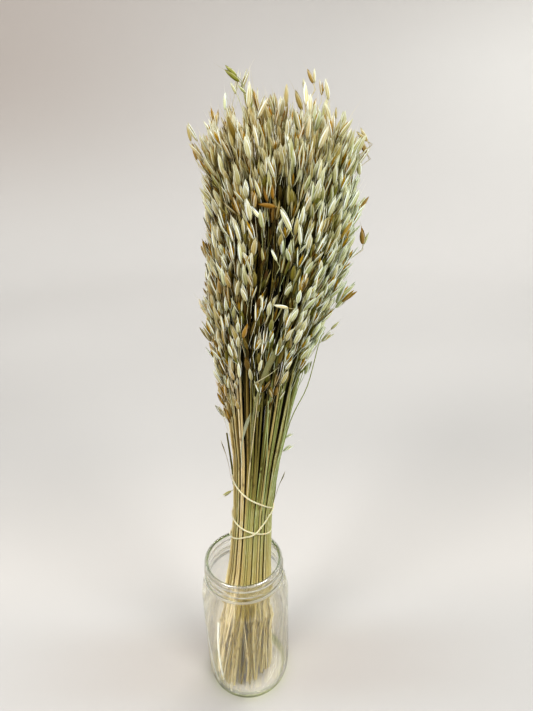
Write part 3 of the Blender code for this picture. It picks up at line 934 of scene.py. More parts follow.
@dataclass
class Plant:
    """One oat plant: where it runs in the bunch, how ripe it is, and the light and shade painted on it."""

    azimuth: float
    share: float
    tied_share: float
    foot: float
    top: float
    low: float
    pitch: float
    foot_drift: float
    head_drift: float
    foot_spread: float
    girth: float
    green: float
    brown: float
    light: float
    shade: float

    def place(self, z):
        """Azimuth and distance from the middle of a point of its stem, above the jar."""
        above = max(0.0, z - TIED_TO) / (WIDEST_AT - TIED_TO)
        azimuth = self.azimuth + self.head_drift * (above - 1)
        out = self.tied_share + (self.share - self.tied_share) * min(1.0, above * 1.6)
        return azimuth, max(out * fan_reach(z), 0.001)

    def stand(self):
        """Where its cut end stands in the jar, clear of the glass."""
        reach = (self.share + self.foot_spread) * (FOOT_REACH + FOOT_WIDER * abs(math.cos(self.azimuth)))
        place = in_bunch(self.azimuth + self.foot_drift, reach, self.foot) + Vector((FOOT_ASIDE, 0, 0))
        room = FLOOR_ROOM / max(FLOOR_ROOM, place.xy.length)
        return Vector((place.x * room, place.y * room, place.z))

    def point(self, z):
        """A point of its stem. It is straight inside the jar."""
        if z >= TIED_FROM:
            return in_bunch(*self.place(z), z)
        neck = in_bunch(*self.place(TIED_FROM), TIED_FROM)
        return neck.lerp(self.stand(), (TIED_FROM - z) / (TIED_FROM - self.foot))

    def light_at(self, z):
        """Light that reaches its stem: inner stems are dark between the jar and the crown."""
        inside = rise(z, *INSIDE_SPAN) * (1 - rise(z, self.top - 0.06, self.top - 0.02))
        tied = rise(z, *TIED_SPAN) * (1 - rise(z, TIED_TO - 0.02, TIED_TO + 0.02))
        light = self.light + (TIED_LIGHT - self.light) * TIED_EVENNESS * tied
        in_jar = IN_JAR_LIGHT + (1 - IN_JAR_LIGHT) * rise(z, *IN_JAR_SPAN)
        under_heads = 1 - UNDER_HEADS_SHADE * rise(z, *UNDER_HEADS_SPAN)
        return light * in_jar * (1 - inside * (1 - self.shade)) * under_heads


def greenness(azimuth, z):
    """How green the bunch is at a place: most at the right, least at the left and on the crown."""
    side = 0.5 + 0.5 * math.cos(azimuth + math.radians(20))
    crown = rise(z, *CROWN_GREEN_SPAN)
    low = 1 - rise(z, 0.34, 0.42)
    return 0.08 + 0.86 * side - 0.56 * crown * side - 0.06 * low * (1 - side)


def stem_greenness(azimuth):
    """How green the stems are: tan at the left, green from the middle to the right."""
    return 0.1 + 0.8 * rise(math.cos(azimuth + math.radians(10)), -0.55, 0.45)


def stem_light(azimuth):
    """How the light on the outer stems differs round the bunch: least at the right and below the cleft."""
    side = 1.05 - 0.17 * math.cos(azimuth) + 0.12 * math.sin(azimuth)
    return side * (1 - 0.46 * bell(azimuth, CLEFT_AZIMUTH, SHADY_HALF_WIDTH))


def light_behind(azimuth):
    """How much light the stems behind the first ones get: least at the front, where they stand apart."""
    return 1.5 - 1.1 * bell(azimuth, CLEFT_AZIMUTH, BEHIND_HALF_WIDTH)


def head_light(azimuth, z):
    """How the light on the spikelets differs round the bunch, on the crown and on the lowest ones."""
    side, crown = math.cos(azimuth), rise(z, *CROWN_SPAN)
    low = 1 - rise(z, *LOW_HEADS_SPAN)
    light = 1 + (0.07 * side - 0.19) * crown + 0.28 * (1 - 0.6 * side) * low
    return light * (1 + 0.14 * max(0.0, math.cos(azimuth + 0.7)) * (1 - crown))


def plants_of(strand, settings):
    """The plants of a strand, the same on every call."""
    degrees, lowest, _ = STRANDS[strand]
    rng = random.Random(settings.seed * 1000 + degrees)
    made = []
    for ring, (count, ring_share, pitch, deep, shade) in enumerate(RINGS):
        for i in range(count):
            turn = HALF_SECTOR * (2 * (i + 0.5 + TURN_JITTER * rng.uniform(-1, 1)) / count - 1)
            azimuth = math.radians(degrees) + turn
            out = ring_share * rng.uniform(*SHARE_DRAW)
            top = crown_height(out * reach_at(WIDEST_AT)) + rng.uniform(*TOP_DRAW)
            foot_drift = rng.gauss(0, FOOT_DRIFT)
            tied_share = out * rng.uniform(*(INNER_TIED_DRAW if ring else OUTER_TIED_DRAW))
            foot = FLOOR_HEIGHT + abs(rng.gauss(0, FOOT_RISE))
            low = lowest + BARE_HEIGHT * bell(azimuth, BARE_AZIMUTH, BARE_HALF_WIDTH)
            low = max(low + rng.gauss(LOWEST_MEAN, LOWEST_SPREAD), top - deep * rng.uniform(*DEPTH_DRAW))
            plant = Plant(
                azimuth=azimuth,
                share=out,
                tied_share=tied_share,
                foot=foot,
                top=top,
                low=low,
                pitch=pitch,
                foot_drift=foot_drift,
                head_drift=rng.gauss(0, HEAD_DRIFT),
                foot_spread=rng.uniform(*FOOT_SPREAD_DRAW),
                girth=rng.uniform(*GIRTH_DRAW),
                green=rng.gauss(0, GREEN_SPREAD),
                brown=max(0.0, rng.gauss(BROWN_MEAN, BROWN_SPREAD)) * (1 - 0.6 * stem_greenness(azimuth)),
                light=rng.uniform(*LIGHT_DRAW) * stem_light(azimuth),
                shade=shade * light_behind(azimuth) if ring else shade,
            )
            made.append(plant)
    return made


class Lines:
    """Lines and loose points with their attributes, on their way to a mesh."""

    NUMBERS = ("girth", "green", "brown", "light", "rust", "faded", "joint", "size", "spikelet")
    VECTORS = ("way", "facing")

    def __init__(self):
        self.places, self.edges, self.rows = [], [], []

    def add(self, place, **values):
        self.places.append(place)
        self.rows.append(values)
        return len(self.places) - 1

    def add_line(self, places, columns=None, **values):
        """A line. columns holds what changes from point to point, by name."""
        for i, place in enumerate(places):
            changing = {key: column[i] for key, column in (columns or {}).items()}
            number = self.add(place, **values, **changing)
            if i:
                self.edges.append((number - 1, number))

    def mesh(self, name):
        mesh = bpy.data.meshes.new(name)
        mesh.from_pydata(self.places, self.edges, [])
        for key in self.NUMBERS:
            column = [row.get(key, 0.0) for row in self.rows]
            mesh.attributes.new(key, "FLOAT", "POINT").data.foreach_set("value", column)
        for key in self.VECTORS:
            column = [number for row in self.rows for number in row.get(key, (0, 0, 1))]
            mesh.attributes.new(key, "FLOAT_VECTOR", "POINT").data.foreach_set("vector", column)
        column = [row.get("pick", 0) for row in self.rows]
        mesh.attributes.new("pick", "INT", "POINT").data.foreach_set("value", column)
        return mesh


def tube(graph, lines, sides):
    """Tubes along lines, as thick as their girth says."""
    curve = graph.add("GeometryNodeMeshToCurve", None, {"Mesh": lines})
    ring = graph.add("GeometryNodeCurvePrimitiveCircle", None, {"Resolution": sides, "Radius": 1.0})
    inputs = {"Curve": curve, "Profile Curve": ring, "Scale": named(graph, "girth"), "Fill Caps": True}
    return graph.add("GeometryNodeCurveToMesh", None, inputs)


def finished(graph, geometry, material):
    """The end of a tree: plain geometry with its material."""
    real = graph.add("GeometryNodeRealizeInstances", None, {"Geometry": geometry})
    return graph.add("GeometryNodeSetMaterial", None, {"Geometry": real, "Material": material})


def straw_tree():
    """Straws: a tube along each line of the mesh."""
    graph = new_group("Straws")
    lines, sides, material = take_inputs(graph, ("Sides", "Int", 7), ("Material", "Material", None))
    smooth = graph.add("GeometryNodeSetShadeSmooth", None, {"Geometry": tube(graph, lines, sides)})
    give_output(graph, finished(graph, smooth, material))
    return graph.tree


def panicle_tree():
    """Panicles: a thin tube along each line, and a spikelet at each loose point, facing as the point says."""
    graph = new_group("Panicles")
    source, sides, spikelets, girth, spread, seed, straw, husk = take_inputs(
        graph,
        ("Sides", "Int", 3),
        ("Spikelets", "Collection", None),
        ("Girth", "Float", 1.0),
        ("Spread", "Float", 0.15),
        ("Seed", "Int", 1),
        ("Straw", "Material", None),
        ("Husk", "Material", None),
    )
    inputs = {"Geometry": source, "Selection": named(graph, "spikelet")}
    split = graph.add("GeometryNodeSeparateGeometry", None, inputs)
    lines = Value(graph, split.socket.node.outputs["Inverted"])
    smooth = graph.add("GeometryNodeSetShadeSmooth", None, {"Geometry": tube(graph, lines, sides)})
    branches = finished(graph, smooth, straw)
    inputs = {"Collection": spikelets, "Separate Children": True, "Reset Children": True}
    shapes = graph.add("GeometryNodeCollectionInfo", None, inputs)
    way, facing = (named(graph, name, "FLOAT_VECTOR") for name in Lines.VECTORS)
    axes = {"Primary Axis": way, "Secondary Axis": facing}
    along = graph.add("FunctionNodeAxesToRotation", {"primary_axis": "Z", "secondary_axis": "X"}, axes)
    size = named(graph, "size") * random_number(graph, 1 - spread, 1 + spread, seed)
    width = size * girth * random_number(graph, 1 - spread, 1 + spread, seed + 1)
    scale = graph.add("ShaderNodeCombineXYZ", None, {"X": width, "Y": width, "Z": size})
    inputs = {
        "Points": split,
        "Instance": shapes,
        "Pick Instance": True,
        "Instance Index": named(graph, "pick", "INT"),
        "Rotation": along,
        "Scale": scale,
    }
    placed = graph.add("GeometryNodeInstanceOnPoints", None, inputs)
    join = graph.tree.nodes.new("GeometryNodeJoinGeometry")
    for part in (finished(graph, placed, husk), branches):
        graph.tree.links.new(part.socket, join.inputs[0])
    give_output(graph, Value(graph, join.outputs[0]))
    return graph.tree


def random_number(graph, low, high, seed):
    inputs = {"Min_001": low, "Max_001": high, "Seed": seed}
    return graph.add("FunctionNodeRandomValue", {"data_type": "FLOAT"}, inputs, "Value_001")


# Spikelets: two boat-shaped husks round a floret, one unit long, with their widths as a share of that
HUSK_WIDTH = 0.236
HUSK_DEPTH = 0.070
HUSK_RINGS = (0.08, 0.27, 0.52, 0.79)
HUSK_ANGLES = (-90, -45, 0, 45, 90)
HUSK_INSIDE = 0.72
HUSK_BOW, HUSK_TIP = 0.08, 1.06
SECOND_OPENING, SECOND_LENGTH = 0.8, 0.93
FLORET_SIDES = 5
FLORET_RADII = (0.07, 0.14 / 2.6)
FLORET_LEAN = 0.02
AWN_SIDES = 3
AWN_RADII = (0.0095, 0.00665)
AWN_START = 0.62
AWN_BENDS = (-0.14, 0.10)
SHARP_ANGLE = math.radians(70)

# What a face of a spikelet belongs to
HUSK, FLORET, AWN = 0.0, 1.0, 2.0

# Shapes: (opening of the husks, their length, floret's length, awn's length)
SPIKELET_SHAPES = (
    (0.05, 1.00, 0.66, 0.0),
    (0.11, 1.00, 0.70, 0.0),
    (0.18, 0.97, 0.74, 0.0),
    (0.28, 0.94, 0.72, 0.0),
    (0.08, 1.00, 0.72, 1.20),
    (0.21, 0.96, 0.78, 1.35),
    (0.12, 0.80, 0.93, 0.70),
    (0.40, 0.90, 0.55, 0.0),
)
SHAPE_ODDS = (18, 24, 20, 12, 12, 9, 8, 3)
CROWN_ODDS = (10, 15, 14, 10, 24, 20, 8, 4)


def husk_profile(v):
    """A husk's width at a share of its length: broadest below the middle, with a drawn-out tip."""
    return 2.49 * v**0.55 * (1 - v) ** 0.80


class Skin:
    """Faces of a shape while it is made, each with its marks and each corner with its place in the grain."""

    def __init__(self, *marks):
        self.shape = bmesh.new()
        self.uv = self.shape.loops.layers.uv.new("grain")
        self.marks = [self.shape.faces.layers.float.new(name) for name in marks]

    def point(self, place, u, v):
        return self.shape.verts.new(place), (u, v)

    def face(self, points, *values):
        made = self.shape.faces.new([vertex for vertex, _ in points])
        made.smooth = True
        for mark, value in zip(self.marks, values):
            made[mark] = value
        for loop, (_, grain) in zip(made.loops, points):
            loop[self.uv].uv = grain

    def sleeve(self, rows, *values):
        """Faces between closed rows of points."""
        for low, high in zip(rows, rows[1:]):
            for i in range(len(low)):
                j = (i + 1) % len(low)
                self.face([low[i], low[j], high[j], high[i]], *values)

    def cone(self, tip, row, *values):
        """Faces from a point to a closed row of points."""
        for i in range(len(row)):
            self.face([tip, row[i], row[(i + 1) % len(row)]], *values)

    def mesh(self, name):
        bmesh.ops.recalc_face_normals(self.shape, faces=self.shape.faces)
        return mesh_of(self.shape, name)


def add_husk(skin, opening, length_of, side):
    """One husk as a thin closed shell: five points across its back and one inside, ring by ring."""
    rows = []
    for v in HUSK_RINGS:
        half = HUSK_WIDTH / 2 * husk_profile(v)
        deep = HUSK_DEPTH * husk_profile(v) ** 0.8
        middle_x = opening * v * length_of + HUSK_BOW * opening * v * v
        row = []
        for angle in HUSK_ANGLES:
            x = middle_x + deep * math.cos(math.radians(angle))
            y = half * math.sin(math.radians(angle))
            row.append(skin.point((side * x, y, v * length_of), (angle + 90) / 180, v))
        row.append(skin.point((side * (middle_x + HUSK_INSIDE * deep), 0, v * length_of), 0.5, v))
        rows.append(row)
    base = skin.point((0, 0, 0), 0.5, 0.0)
    tip = skin.point((side * opening * length_of * HUSK_TIP, 0, length_of), 0.5, 1.0)
    skin.cone(base, rows[0], HUSK)
    skin.cone(tip, rows[-1], HUSK)
    skin.sleeve(rows, HUSK)


def add_spindle(skin, part, line, radii, sides):
    """A closed spindle along a line, for a floret or an awn."""
    rows = []
    for (x, y, z), radius in zip(line[1:-1], radii):
        row = []
        for i in range(sides):
            angle = 2 * math.pi * i / sides
            row.append(skin.point((x + radius * math.cos(angle), y + radius * math.sin(angle), z), 0.5, z))
        rows.append(row)
    base, tip = (skin.point(place, 0.5, place[2]) for place in (line[0], line[-1]))
    skin.cone(base, rows[0], part)
    skin.cone(tip, rows[-1], part)
    skin.sleeve(rows, part)


def spikelet_mesh(number, opening, husks, floret, awn):
    """One of the spikelet shapes. Its husks open along X."""
    skin = Skin("part")
    add_husk(skin, opening, husks, 1)
    add_husk(skin, opening * SECOND_OPENING, husks * SECOND_LENGTH, -1)
    lean = FLORET_LEAN * (number % 3 - 1)
    spine = [(0, 0, 0.04), (0, 0, floret * 0.32), (lean, 0, floret * 0.68), (lean * 1.5, 0, floret)]
    add_spindle(skin, FLORET, spine, FLORET_RADII, FLORET_SIDES)
    if awn:
        start = floret * AWN_START
        bend = AWN_BENDS[number % 2]
        middle_of_awn = (bend * 0.3, 0.01, start + 0.5 * awn)
        line = [(0, 0, start), (0, 0, start + 0.02), middle_of_awn, (bend, 0.05, start + awn)]
        add_spindle(skin, AWN, line, AWN_RADII, AWN_SIDES)
    mesh = skin.mesh(f"spikelet_{number}")
    mesh.set_sharp_from_angle(angle=SHARP_ANGLE)
    return mesh


def spikelet_collection():
    collection = bpy.data.collections.new("spikelet_shapes")
    for number, shape in enumerate(SPIKELET_SHAPES):
        collection.objects.link(bpy.data.objects.new(f"spikelet_{number}", spikelet_mesh(number, *shape)))
    return collection


def remove_collection(collection):
    for obj in list(collection.objects):
        bpy.data.objects.remove(obj)
    bpy.data.collections.remove(collection)


def husk(settings):
    """Papery husks, the florets between them and their awns, with painted light and shade from each
    spikelet's light, and painted highlights on the lit husks.
    """

    def write(graph):
        across, along = graph.grain()
        part = graph.attribute("part")
        floret = part.between(HUSK, FLORET)
        hair = part.between(FLORET, AWN)
        green, rust, faded, light = (graph.attribute(name) for name in ("green", "rust", "faded", "light"))
        whole = 1 - rust
        lit = light.between(0.2, 0.9)
        place = graph.place()
        mottle = graph.noise(graph.stretched(place, (1, 1, 0.35)), 260.0, 3.0)
        edge = abs(across * 2 - 1)
        margin_and_highlight = edge.between(0.28, 0.78) * along.between(0.02, 0.2)
        veins = graph.waves(across, 2.5)
        body = graph.mix(green, settings.gold, settings.green)
        body = graph.mix(mottle.between(0.42, 0.72) * 0.5, body, settings.olive)
        body = graph.mix((1 - veins) * 0.25, body, settings.olive)
        body = graph.mix(rust * 0.9, body, settings.rust)
        faded_husk = graph.mix(green * 0.4, settings.faded, settings.green)
        # The pale of bleached husks, veins, papery margins and tips shows only as far as lit, the painted
        # light, reaches: painted highlights on the lit husks, painted shade on the deep ones
        body = graph.mix(faded * whole * lit * 0.55, body, faded_husk)
        body = graph.mix(veins * whole * (lit * 0.25 + 0.05), body, faded_husk)
        # A painted highlight: pale over the veins of the brightest husks
        body = graph.mix((veins * 0.35 + 0.15) * whole * lit * lit, body, settings.pale)
        # The papery margins, painted whiter where the husk is lit
        body = graph.mix(margin_and_highlight * (1 - rust * 0.85) * (lit * 0.8 + 0.15), body, settings.pale)
        body = graph.mix(along.between(0.5, 1.0) * whole * lit * 0.45, body, settings.pale)
        seed = graph.mix(green * 0.8, settings.rust, settings.olive)
        seed = graph.mix(0.4 - rust * 0.4, seed, settings.gold)
        body = graph.mix(floret, body, seed)
        body = graph.mix(hair * 0.8, body, settings.awn)
        body = graph.shade(body, light)
        return {"Base Color": body, "Roughness": 0.6 - margin_and_highlight * 0.14}, veins * 0.5 + mottle

    return new_material("husk", write, Sheen_Weight=0.05, Specular_IOR_Level=0.3)


def straw(settings):
    """Stems and branches: streaks along them, and darker rings at their joints."""

    def write(graph):
        place = graph.place()
        height = graph.parts(place)[2]
        names = ("green", "brown", "light", "joint", "faded")
        green, brown, light, joint, faded = (graph.attribute(name) for name in names)
        streaks = graph.noise(graph.stretched(place, (1, 1, 0.03)), 1500.0, 2.0)
        patches = graph.noise(graph.stretched(place, (1, 1, 0.2)), 160.0, 3.0)
        foot = 1 - height.between(0.08, 0.27)
        body = graph.mix(green, settings.straw, settings.green_straw)
        body = graph.mix(brown, body, settings.brown_straw)
        body = graph.mix(patches.between(0.5, 0.75) * 0.4, body, settings.olive)
        body = graph.mix(foot * 0.75, body, settings.pale_straw)
        body = graph.mix(streaks.between(0.5, 0.75) * (foot * 0.25 + 0.5), body, settings.pale)
        body = graph.mix(faded * 0.85, body, settings.pale)
        body = graph.mix(joint * 0.7, body, settings.joint)
        body = graph.shade(body, light)
        return {"Base Color": body, "Roughness": 0.5 + streaks * 0.12}, streaks

    return new_material("straw", write, Specular_IOR_Level=0.4)


def dry_leaf(settings):
    """Grey-green blades with veins along them."""

    def write(graph):
        across, along = graph.grain()
        green, light = graph.attribute("green"), graph.attribute("light")
        veins = graph.waves(across, 7)
        patches = graph.noise(graph.place(), 140.0, 4.0)
        body = graph.mix(green, settings.straw, settings.leaf)
        body = graph.mix(patches.between(0.45, 0.75) * 0.45, body, settings.brown_straw)
        body = graph.mix(veins * (0.55 - along * 0.3), body, settings.pale)
        body = graph.mix((1 - veins) * along.between(0.45, 0.9) * 0.6, body, settings.olive)
        body = graph.shade(body, light)
        return {"Base Color": body, "Roughness": 0.62 - veins * 0.1}, veins

    return new_material("dry_leaf", write, Specular_IOR_Level=0.35)


def stem_lines(lines, plant, settings, rng):
    """One plant's stem, from its cut end to the top of its head, with its joints."""
    joints = [rng.uniform(*LOW_JOINT_DRAW), rng.uniform(*HIGH_JOINT_DRAW)]
    marks = [plant.foot, 0.08, *np.linspace(TIED_FROM, plant.top, STEM_STATIONS)]
    for joint in joints:
        marks += [joint - JOINT_HALF_LENGTH, joint, joint + JOINT_HALF_LENGTH]
    marks = sorted(mark for mark in marks if mark >= plant.foot)
    swells = [1.0 if z in joints else 0.0 for z in marks]

    def girth(z, swell):
        rachis = 1 - (1 - RACHIS_GIRTH) * rise(z, *RACHIS_SPAN)
        tip = 1 - 0.8 * rise(z, plant.top - TIP_LENGTH, plant.top)
        return settings.stem_radius * plant.girth * rachis * tip * (1 + JOINT_SWELL * swell)

    def green(z):
        low = 1 - rise(z, TIED_TO - 0.03, TIED_TO + 0.02)
        return bounded(stem_greenness(plant.azimuth) + plant.green + 0.25 * low)

    columns = {
        "girth": [girth(z, swell) for z, swell in zip(marks, swells)],
        "joint": swells,
        "light": [plant.light_at(z) for z in marks],
        "green": [green(z) for z in marks],
    }
    lines.add_line([plant.point(z) for z in marks], columns, brown=bounded(plant.brown))


def in_mm(azimuth, reach, height):
    """A place in the bunch given in degrees and millimetres."""
    return in_bunch(math.radians(azimuth), reach / 1000, height / 1000)


def strand_at(azimuth):
    """The strand whose sector holds an azimuth, in degrees."""
    return min(STRANDS, key=lambda name: abs((azimuth - STRANDS[name][0] + 180) % 360 - 180))


def stray_straws(lines, strand, settings):
    """The straws that stand or lie apart on a strand's side."""
    for stations, girth, green, light, faded in STRAY_STRAWS:
        if strand_at(stations[-1][0]) != strand:
            continue
        places = through([in_mm(*station) for station in stations], STRAW_STEPS)
        last = len(places) - 1
        girths = [settings.stem_radius * girth * (1 - 0.35 * i / last) for i in range(last + 1)]
        lines.add_line(places, {"girth": girths}, green=green, light=light, faded=faded)


def spikelet_places(plant, rng):
    """Places up a plant's head, each with the light that its depth in the bunch leaves it."""
    z = plant.low + rng.uniform(0, plant.pitch)
    while z < plant.top:
        azimuth, reach = plant.place(z)
        dark = cleft(azimuth, z)
        if rng.random() >= CLEFT_GAPS * dark:
            deep = rng.random()
            out = SPIKELET_OUTERMOST - SPIKELET_LAYER * deep - CLEFT_DEPTH * dark * rng.uniform(0.4, 1)
            aside = rng.gauss(0, SPIKELET_ASIDE) / max(reach, 0.01)
            crown = rise(z, *CROWN_SPAN)
            shade = DEEP_SHADE - 0.45 * crown - 0.25 * max(0.0, math.cos(azimuth)) * (1 - crown)
            light = SPIKELET_LIGHT - shade * deep**1.4 - CLEFT_SHADE * dark * rng.random()
            yield azimuth + aside, reach + out, z, light
        sparse = 1 + LOW_GAPS * (1 - rise(z, plant.low, plant.low + LOW_GAPS_RISE))
        z += plant.pitch * sparse * rng.uniform(*PITCH_DRAW)


def add_spikelet(lines, root, foot, way, settings, rng, facing=None, size=1.0, pick=None, **tone):
    """A branch from a place on a stem to a spikelet's foot, and the spikelet."""
    before = foot - way * BRANCH_END
    bow = root.lerp(before, 0.5) + way * BRANCH_BOW
    lines.add_line([root, bow, before, foot], girth=settings.branch_radius, **tone)
    if facing is None:
        facing = Vector([rng.gauss(0, 1) for _ in range(3)])
    if pick is None:
        pick = rng.choices(range(len(SHAPE_ODDS)), SHAPE_ODDS)[0]
    size *= settings.spikelet_length
    lines.add(foot, spikelet=1.0, size=size, pick=pick, way=way, facing=facing, **tone)


def one_of_two(rng, odds, likely, other):
    """An even draw from one of two ranges."""
    return rng.uniform(*likely) if rng.random() < odds else rng.uniform(*other)


def spikelet_tone(azimuth, z, light, rng, green=0.0):
    """Colour of a spikelet by its place in the bunch."""
    green = bounded(greenness(azimuth, z) + green + rng.gauss(0, 0.16))
    low = (1 - rise(z, 0.36, 0.41)) * (1 - green)
    ripe = 0.07 + 0.28 * (1 - green) ** 2 + 0.7 * low
    rust = one_of_two(rng, ripe, (0.45, 1.0), (0, 0.3)) * (1 - 0.35 * rise(z, 0.55, 0.59))
    faded = one_of_two(rng, 0.55, (0.4, 1.0), (0, 0.3)) * (1 - 0.6 * low)
    light = min(BRIGHTEST, light * rng.uniform(0.85, 1.15))
    return {"green": green, "rust": rust, "faded": faded, "light": light}


def panicle_lines(lines, plant, settings, rng):
    """One plant's spikelets."""
    for azimuth, reach, z, light in spikelet_places(plant, rng):
        out = outward(azimuth)
        sideways = Vector((-out.y, out.x, 0))
        tilt = out * rng.uniform(*SPIKELET_TILT) + sideways * rng.gauss(0, SPIKELET_SIDEWAYS)
        way = (growth(azimuth, reach, z) + tilt).normalized()
        root = plant.point(z - rng.uniform(*BRANCH_RISE))
        light *= head_light(azimuth, z)
        if plant.shade < 1:
            light *= 0.38 + 0.72 * rise(z, plant.top - 0.05, plant.top - 0.01)
        tone = spikelet_tone(azimuth, z, max(DARKEST, light), rng, plant.green * 0.6)
        odds = CROWN_ODDS if z > CROWN_SHAPES_FROM else SHAPE_ODDS
        tone["pick"] = rng.choices(range(len(odds)), odds)[0]
        tone["size"] = 0.8 + 0.2 * rise(z, 0.35, 0.40)
        add_spikelet(lines, root, in_bunch(azimuth, reach, z), way, settings, rng, **tone)


def spray_lines(lines, strand, settings, rng):
    """The sprays that stand out of a strand's side."""
    for degrees, root_z, tip_z, tip_reach in SPRAYS:
        if strand_at(degrees) != strand:
            continue
        azimuth = math.radians(degrees)
        root = in_bunch(azimuth, SPRAY_ROOT * fan_reach(root_z), root_z)
        tip = in_bunch(azimuth, tip_reach, tip_z)
        way = (tip - root).normalized()
        for number in range(rng.choice(SPRAY_COUNTS)):
            spread = SPRAY_SPREAD + SPRAY_SPREAD_MORE * number
            lean = Vector([rng.gauss(0, spread) for _ in range(3)])
            back = settings.spikelet_length * (1 + SPRAY_STEP * number)
            foot = tip - way * back + lean * SPRAY_ASIDE
            tone = spikelet_tone(azimuth, tip_z, 1.0, rng)
            add_spikelet(lines, root, foot, (way + lean).normalized(), settings, rng, **tone)


def stray_lines(lines, strand, settings, rng):
    """The single spikelets that lie or stand apart on a strand's side."""
    for foot, tip, green, rust, light, pick in STRAYS:
        if strand_at(foot[0]) != strand:
            continue
        azimuth, reach, height = foot
        root = in_mm(azimuth, reach * STRAY_ROOT, height - STRAY_BRANCH_RISE)
        start = in_mm(*foot)
        run = in_mm(*tip) - start
        size = run.length / settings.spikelet_length
        facing = OPEN_FACING if SPIKELET_SHAPES[pick][0] > OPEN_FROM else CLOSED_FACING
        tone = {"green": green, "rust": rust, "light": light}
        add_spikelet(lines, root, start, run.normalized(), settings, rng, facing, size, pick, **tone)


def add_blade(skin, line, width, green, light):
    """One dry blade along a line: a thin closed strip, folded along its middle."""
    last = len(line) - 1
    rows = []
    for i, place in enumerate(line):
        along = i / last
        way = (line[min(i + 1, last)] - line[max(i - 1, 0)]).normalized()
        side = way.cross(place - middle(place.z)).normalized()
        out = side.cross(way)
        spread = 0.12 + 0.24 * rise(along, 0, 0.4) + 0.6 * rise(along, 0.5, 0.8)
        half = width / 2 * spread * (1 - 0.95 * rise(along, 0.84, 1.0))
        row = []
        for across, lift, thick in BLADE_CORNERS:
            offset = side * (across * half) + out * (lift * BLADE_FOLD * half + thick * BLADE_THICKNESS / 2)
            row.append(skin.point(place + offset, (across + 1) / 2, along))
        rows.append(row)
    skin.sleeve(rows, green, light)
    skin.face(list(reversed(rows[0])), green, light)
    skin.face(rows[-1], green, light)


def build_leaves(settings):
    """The dry blades, as one piece."""
    skin = Skin("green", "light")
    for stations, width, green, light in BLADES:
        line = through([in_mm(*station) for station in stations], BLADE_STEPS)
        add_blade(skin, line, width / 1000, green, light)
    leaves = link("leaves", skin.mesh("leaves"))
    leaves.data.materials.append(dry_leaf(settings))
    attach(leaves, "root")


def build_strand(strand, settings, trees, materials, spikelets):
    """The two pieces of a strand: its stems, and its panicles."""
    degrees, _, slot = STRANDS[strand]
    rng = random.Random(settings.seed * 2000 + degrees)
    stems, panicles = Lines(), Lines()
    for plant in plants_of(strand, settings):
        stem_lines(stems, plant, settings, rng)
        panicle_lines(panicles, plant, settings, rng)
    stray_straws(stems, strand, settings)
    spray_lines(panicles, strand, settings, rng)
    stray_lines(panicles, strand, settings, rng)
    inputs = {"sides": settings.stem_sides, "material": materials[0]}
    stood = grown(f"stems_{strand}", stems.mesh("stems"), trees[0], **inputs)
    inputs = {
        "spikelets": spikelets,
        "girth": settings.spikelet_girth,
        "spread": settings.size_spread,
        "seed": settings.seed + degrees,
        "straw": materials[0],
        "husk": materials[1],
    }
    headed = grown(f"panicles_{strand}", panicles.mesh("panicles"), trees[1], **inputs)
    for piece in (stood, headed):
        stand_for(piece, slot, f"oat_strand_{strand}")


# Stage

# The camera, from the picture: its focus and height are in pixels
CAMERA_PLACE = (0.0320, -0.4424, 0.6083)
CAMERA_DOWN = math.radians(24.0)
CAMERA_ROLL = math.radians(-1.742)
PICTURE_HEIGHT = 711
CAMERA_FOCUS = 533
SENSOR = 36.0
CLIP_START, CLIP_END = 0.01, 50

# Soft lights: (name, place, what it faces, size, share of the key power)
LIGHTS = (
    ("softbox_left", (-1.2, -1.1, 1.9), (0, 0, 0.35), 1.0, 1.0),
    ("softbox_right", (1.3, -0.9, 1.9), (0, 0, 0.35), 1.0, 1.1),
    ("softbox_back", (0.7, 1.0, 2.1), (0, 0, 0.5), 0.9, 0.8),
)
SKY_COLOUR = (0.975, 1.0, 1.0, 1.0)

# Half of the paper's section, (radius, height): a flat floor that sweeps up into a wall all round
PAPER_OUTLINE = (
    (0.0, 0.0),
    (0.8, 0.0),
    (1.5, 0.0),
    (1.9, 0.06),
    (2.2, 0.30),
    (2.35, 0.75),
    (2.4, 1.6),
    (2.4, 2.6),
)
PAPER_STEPS = 6
PAPER_SIDES = 96


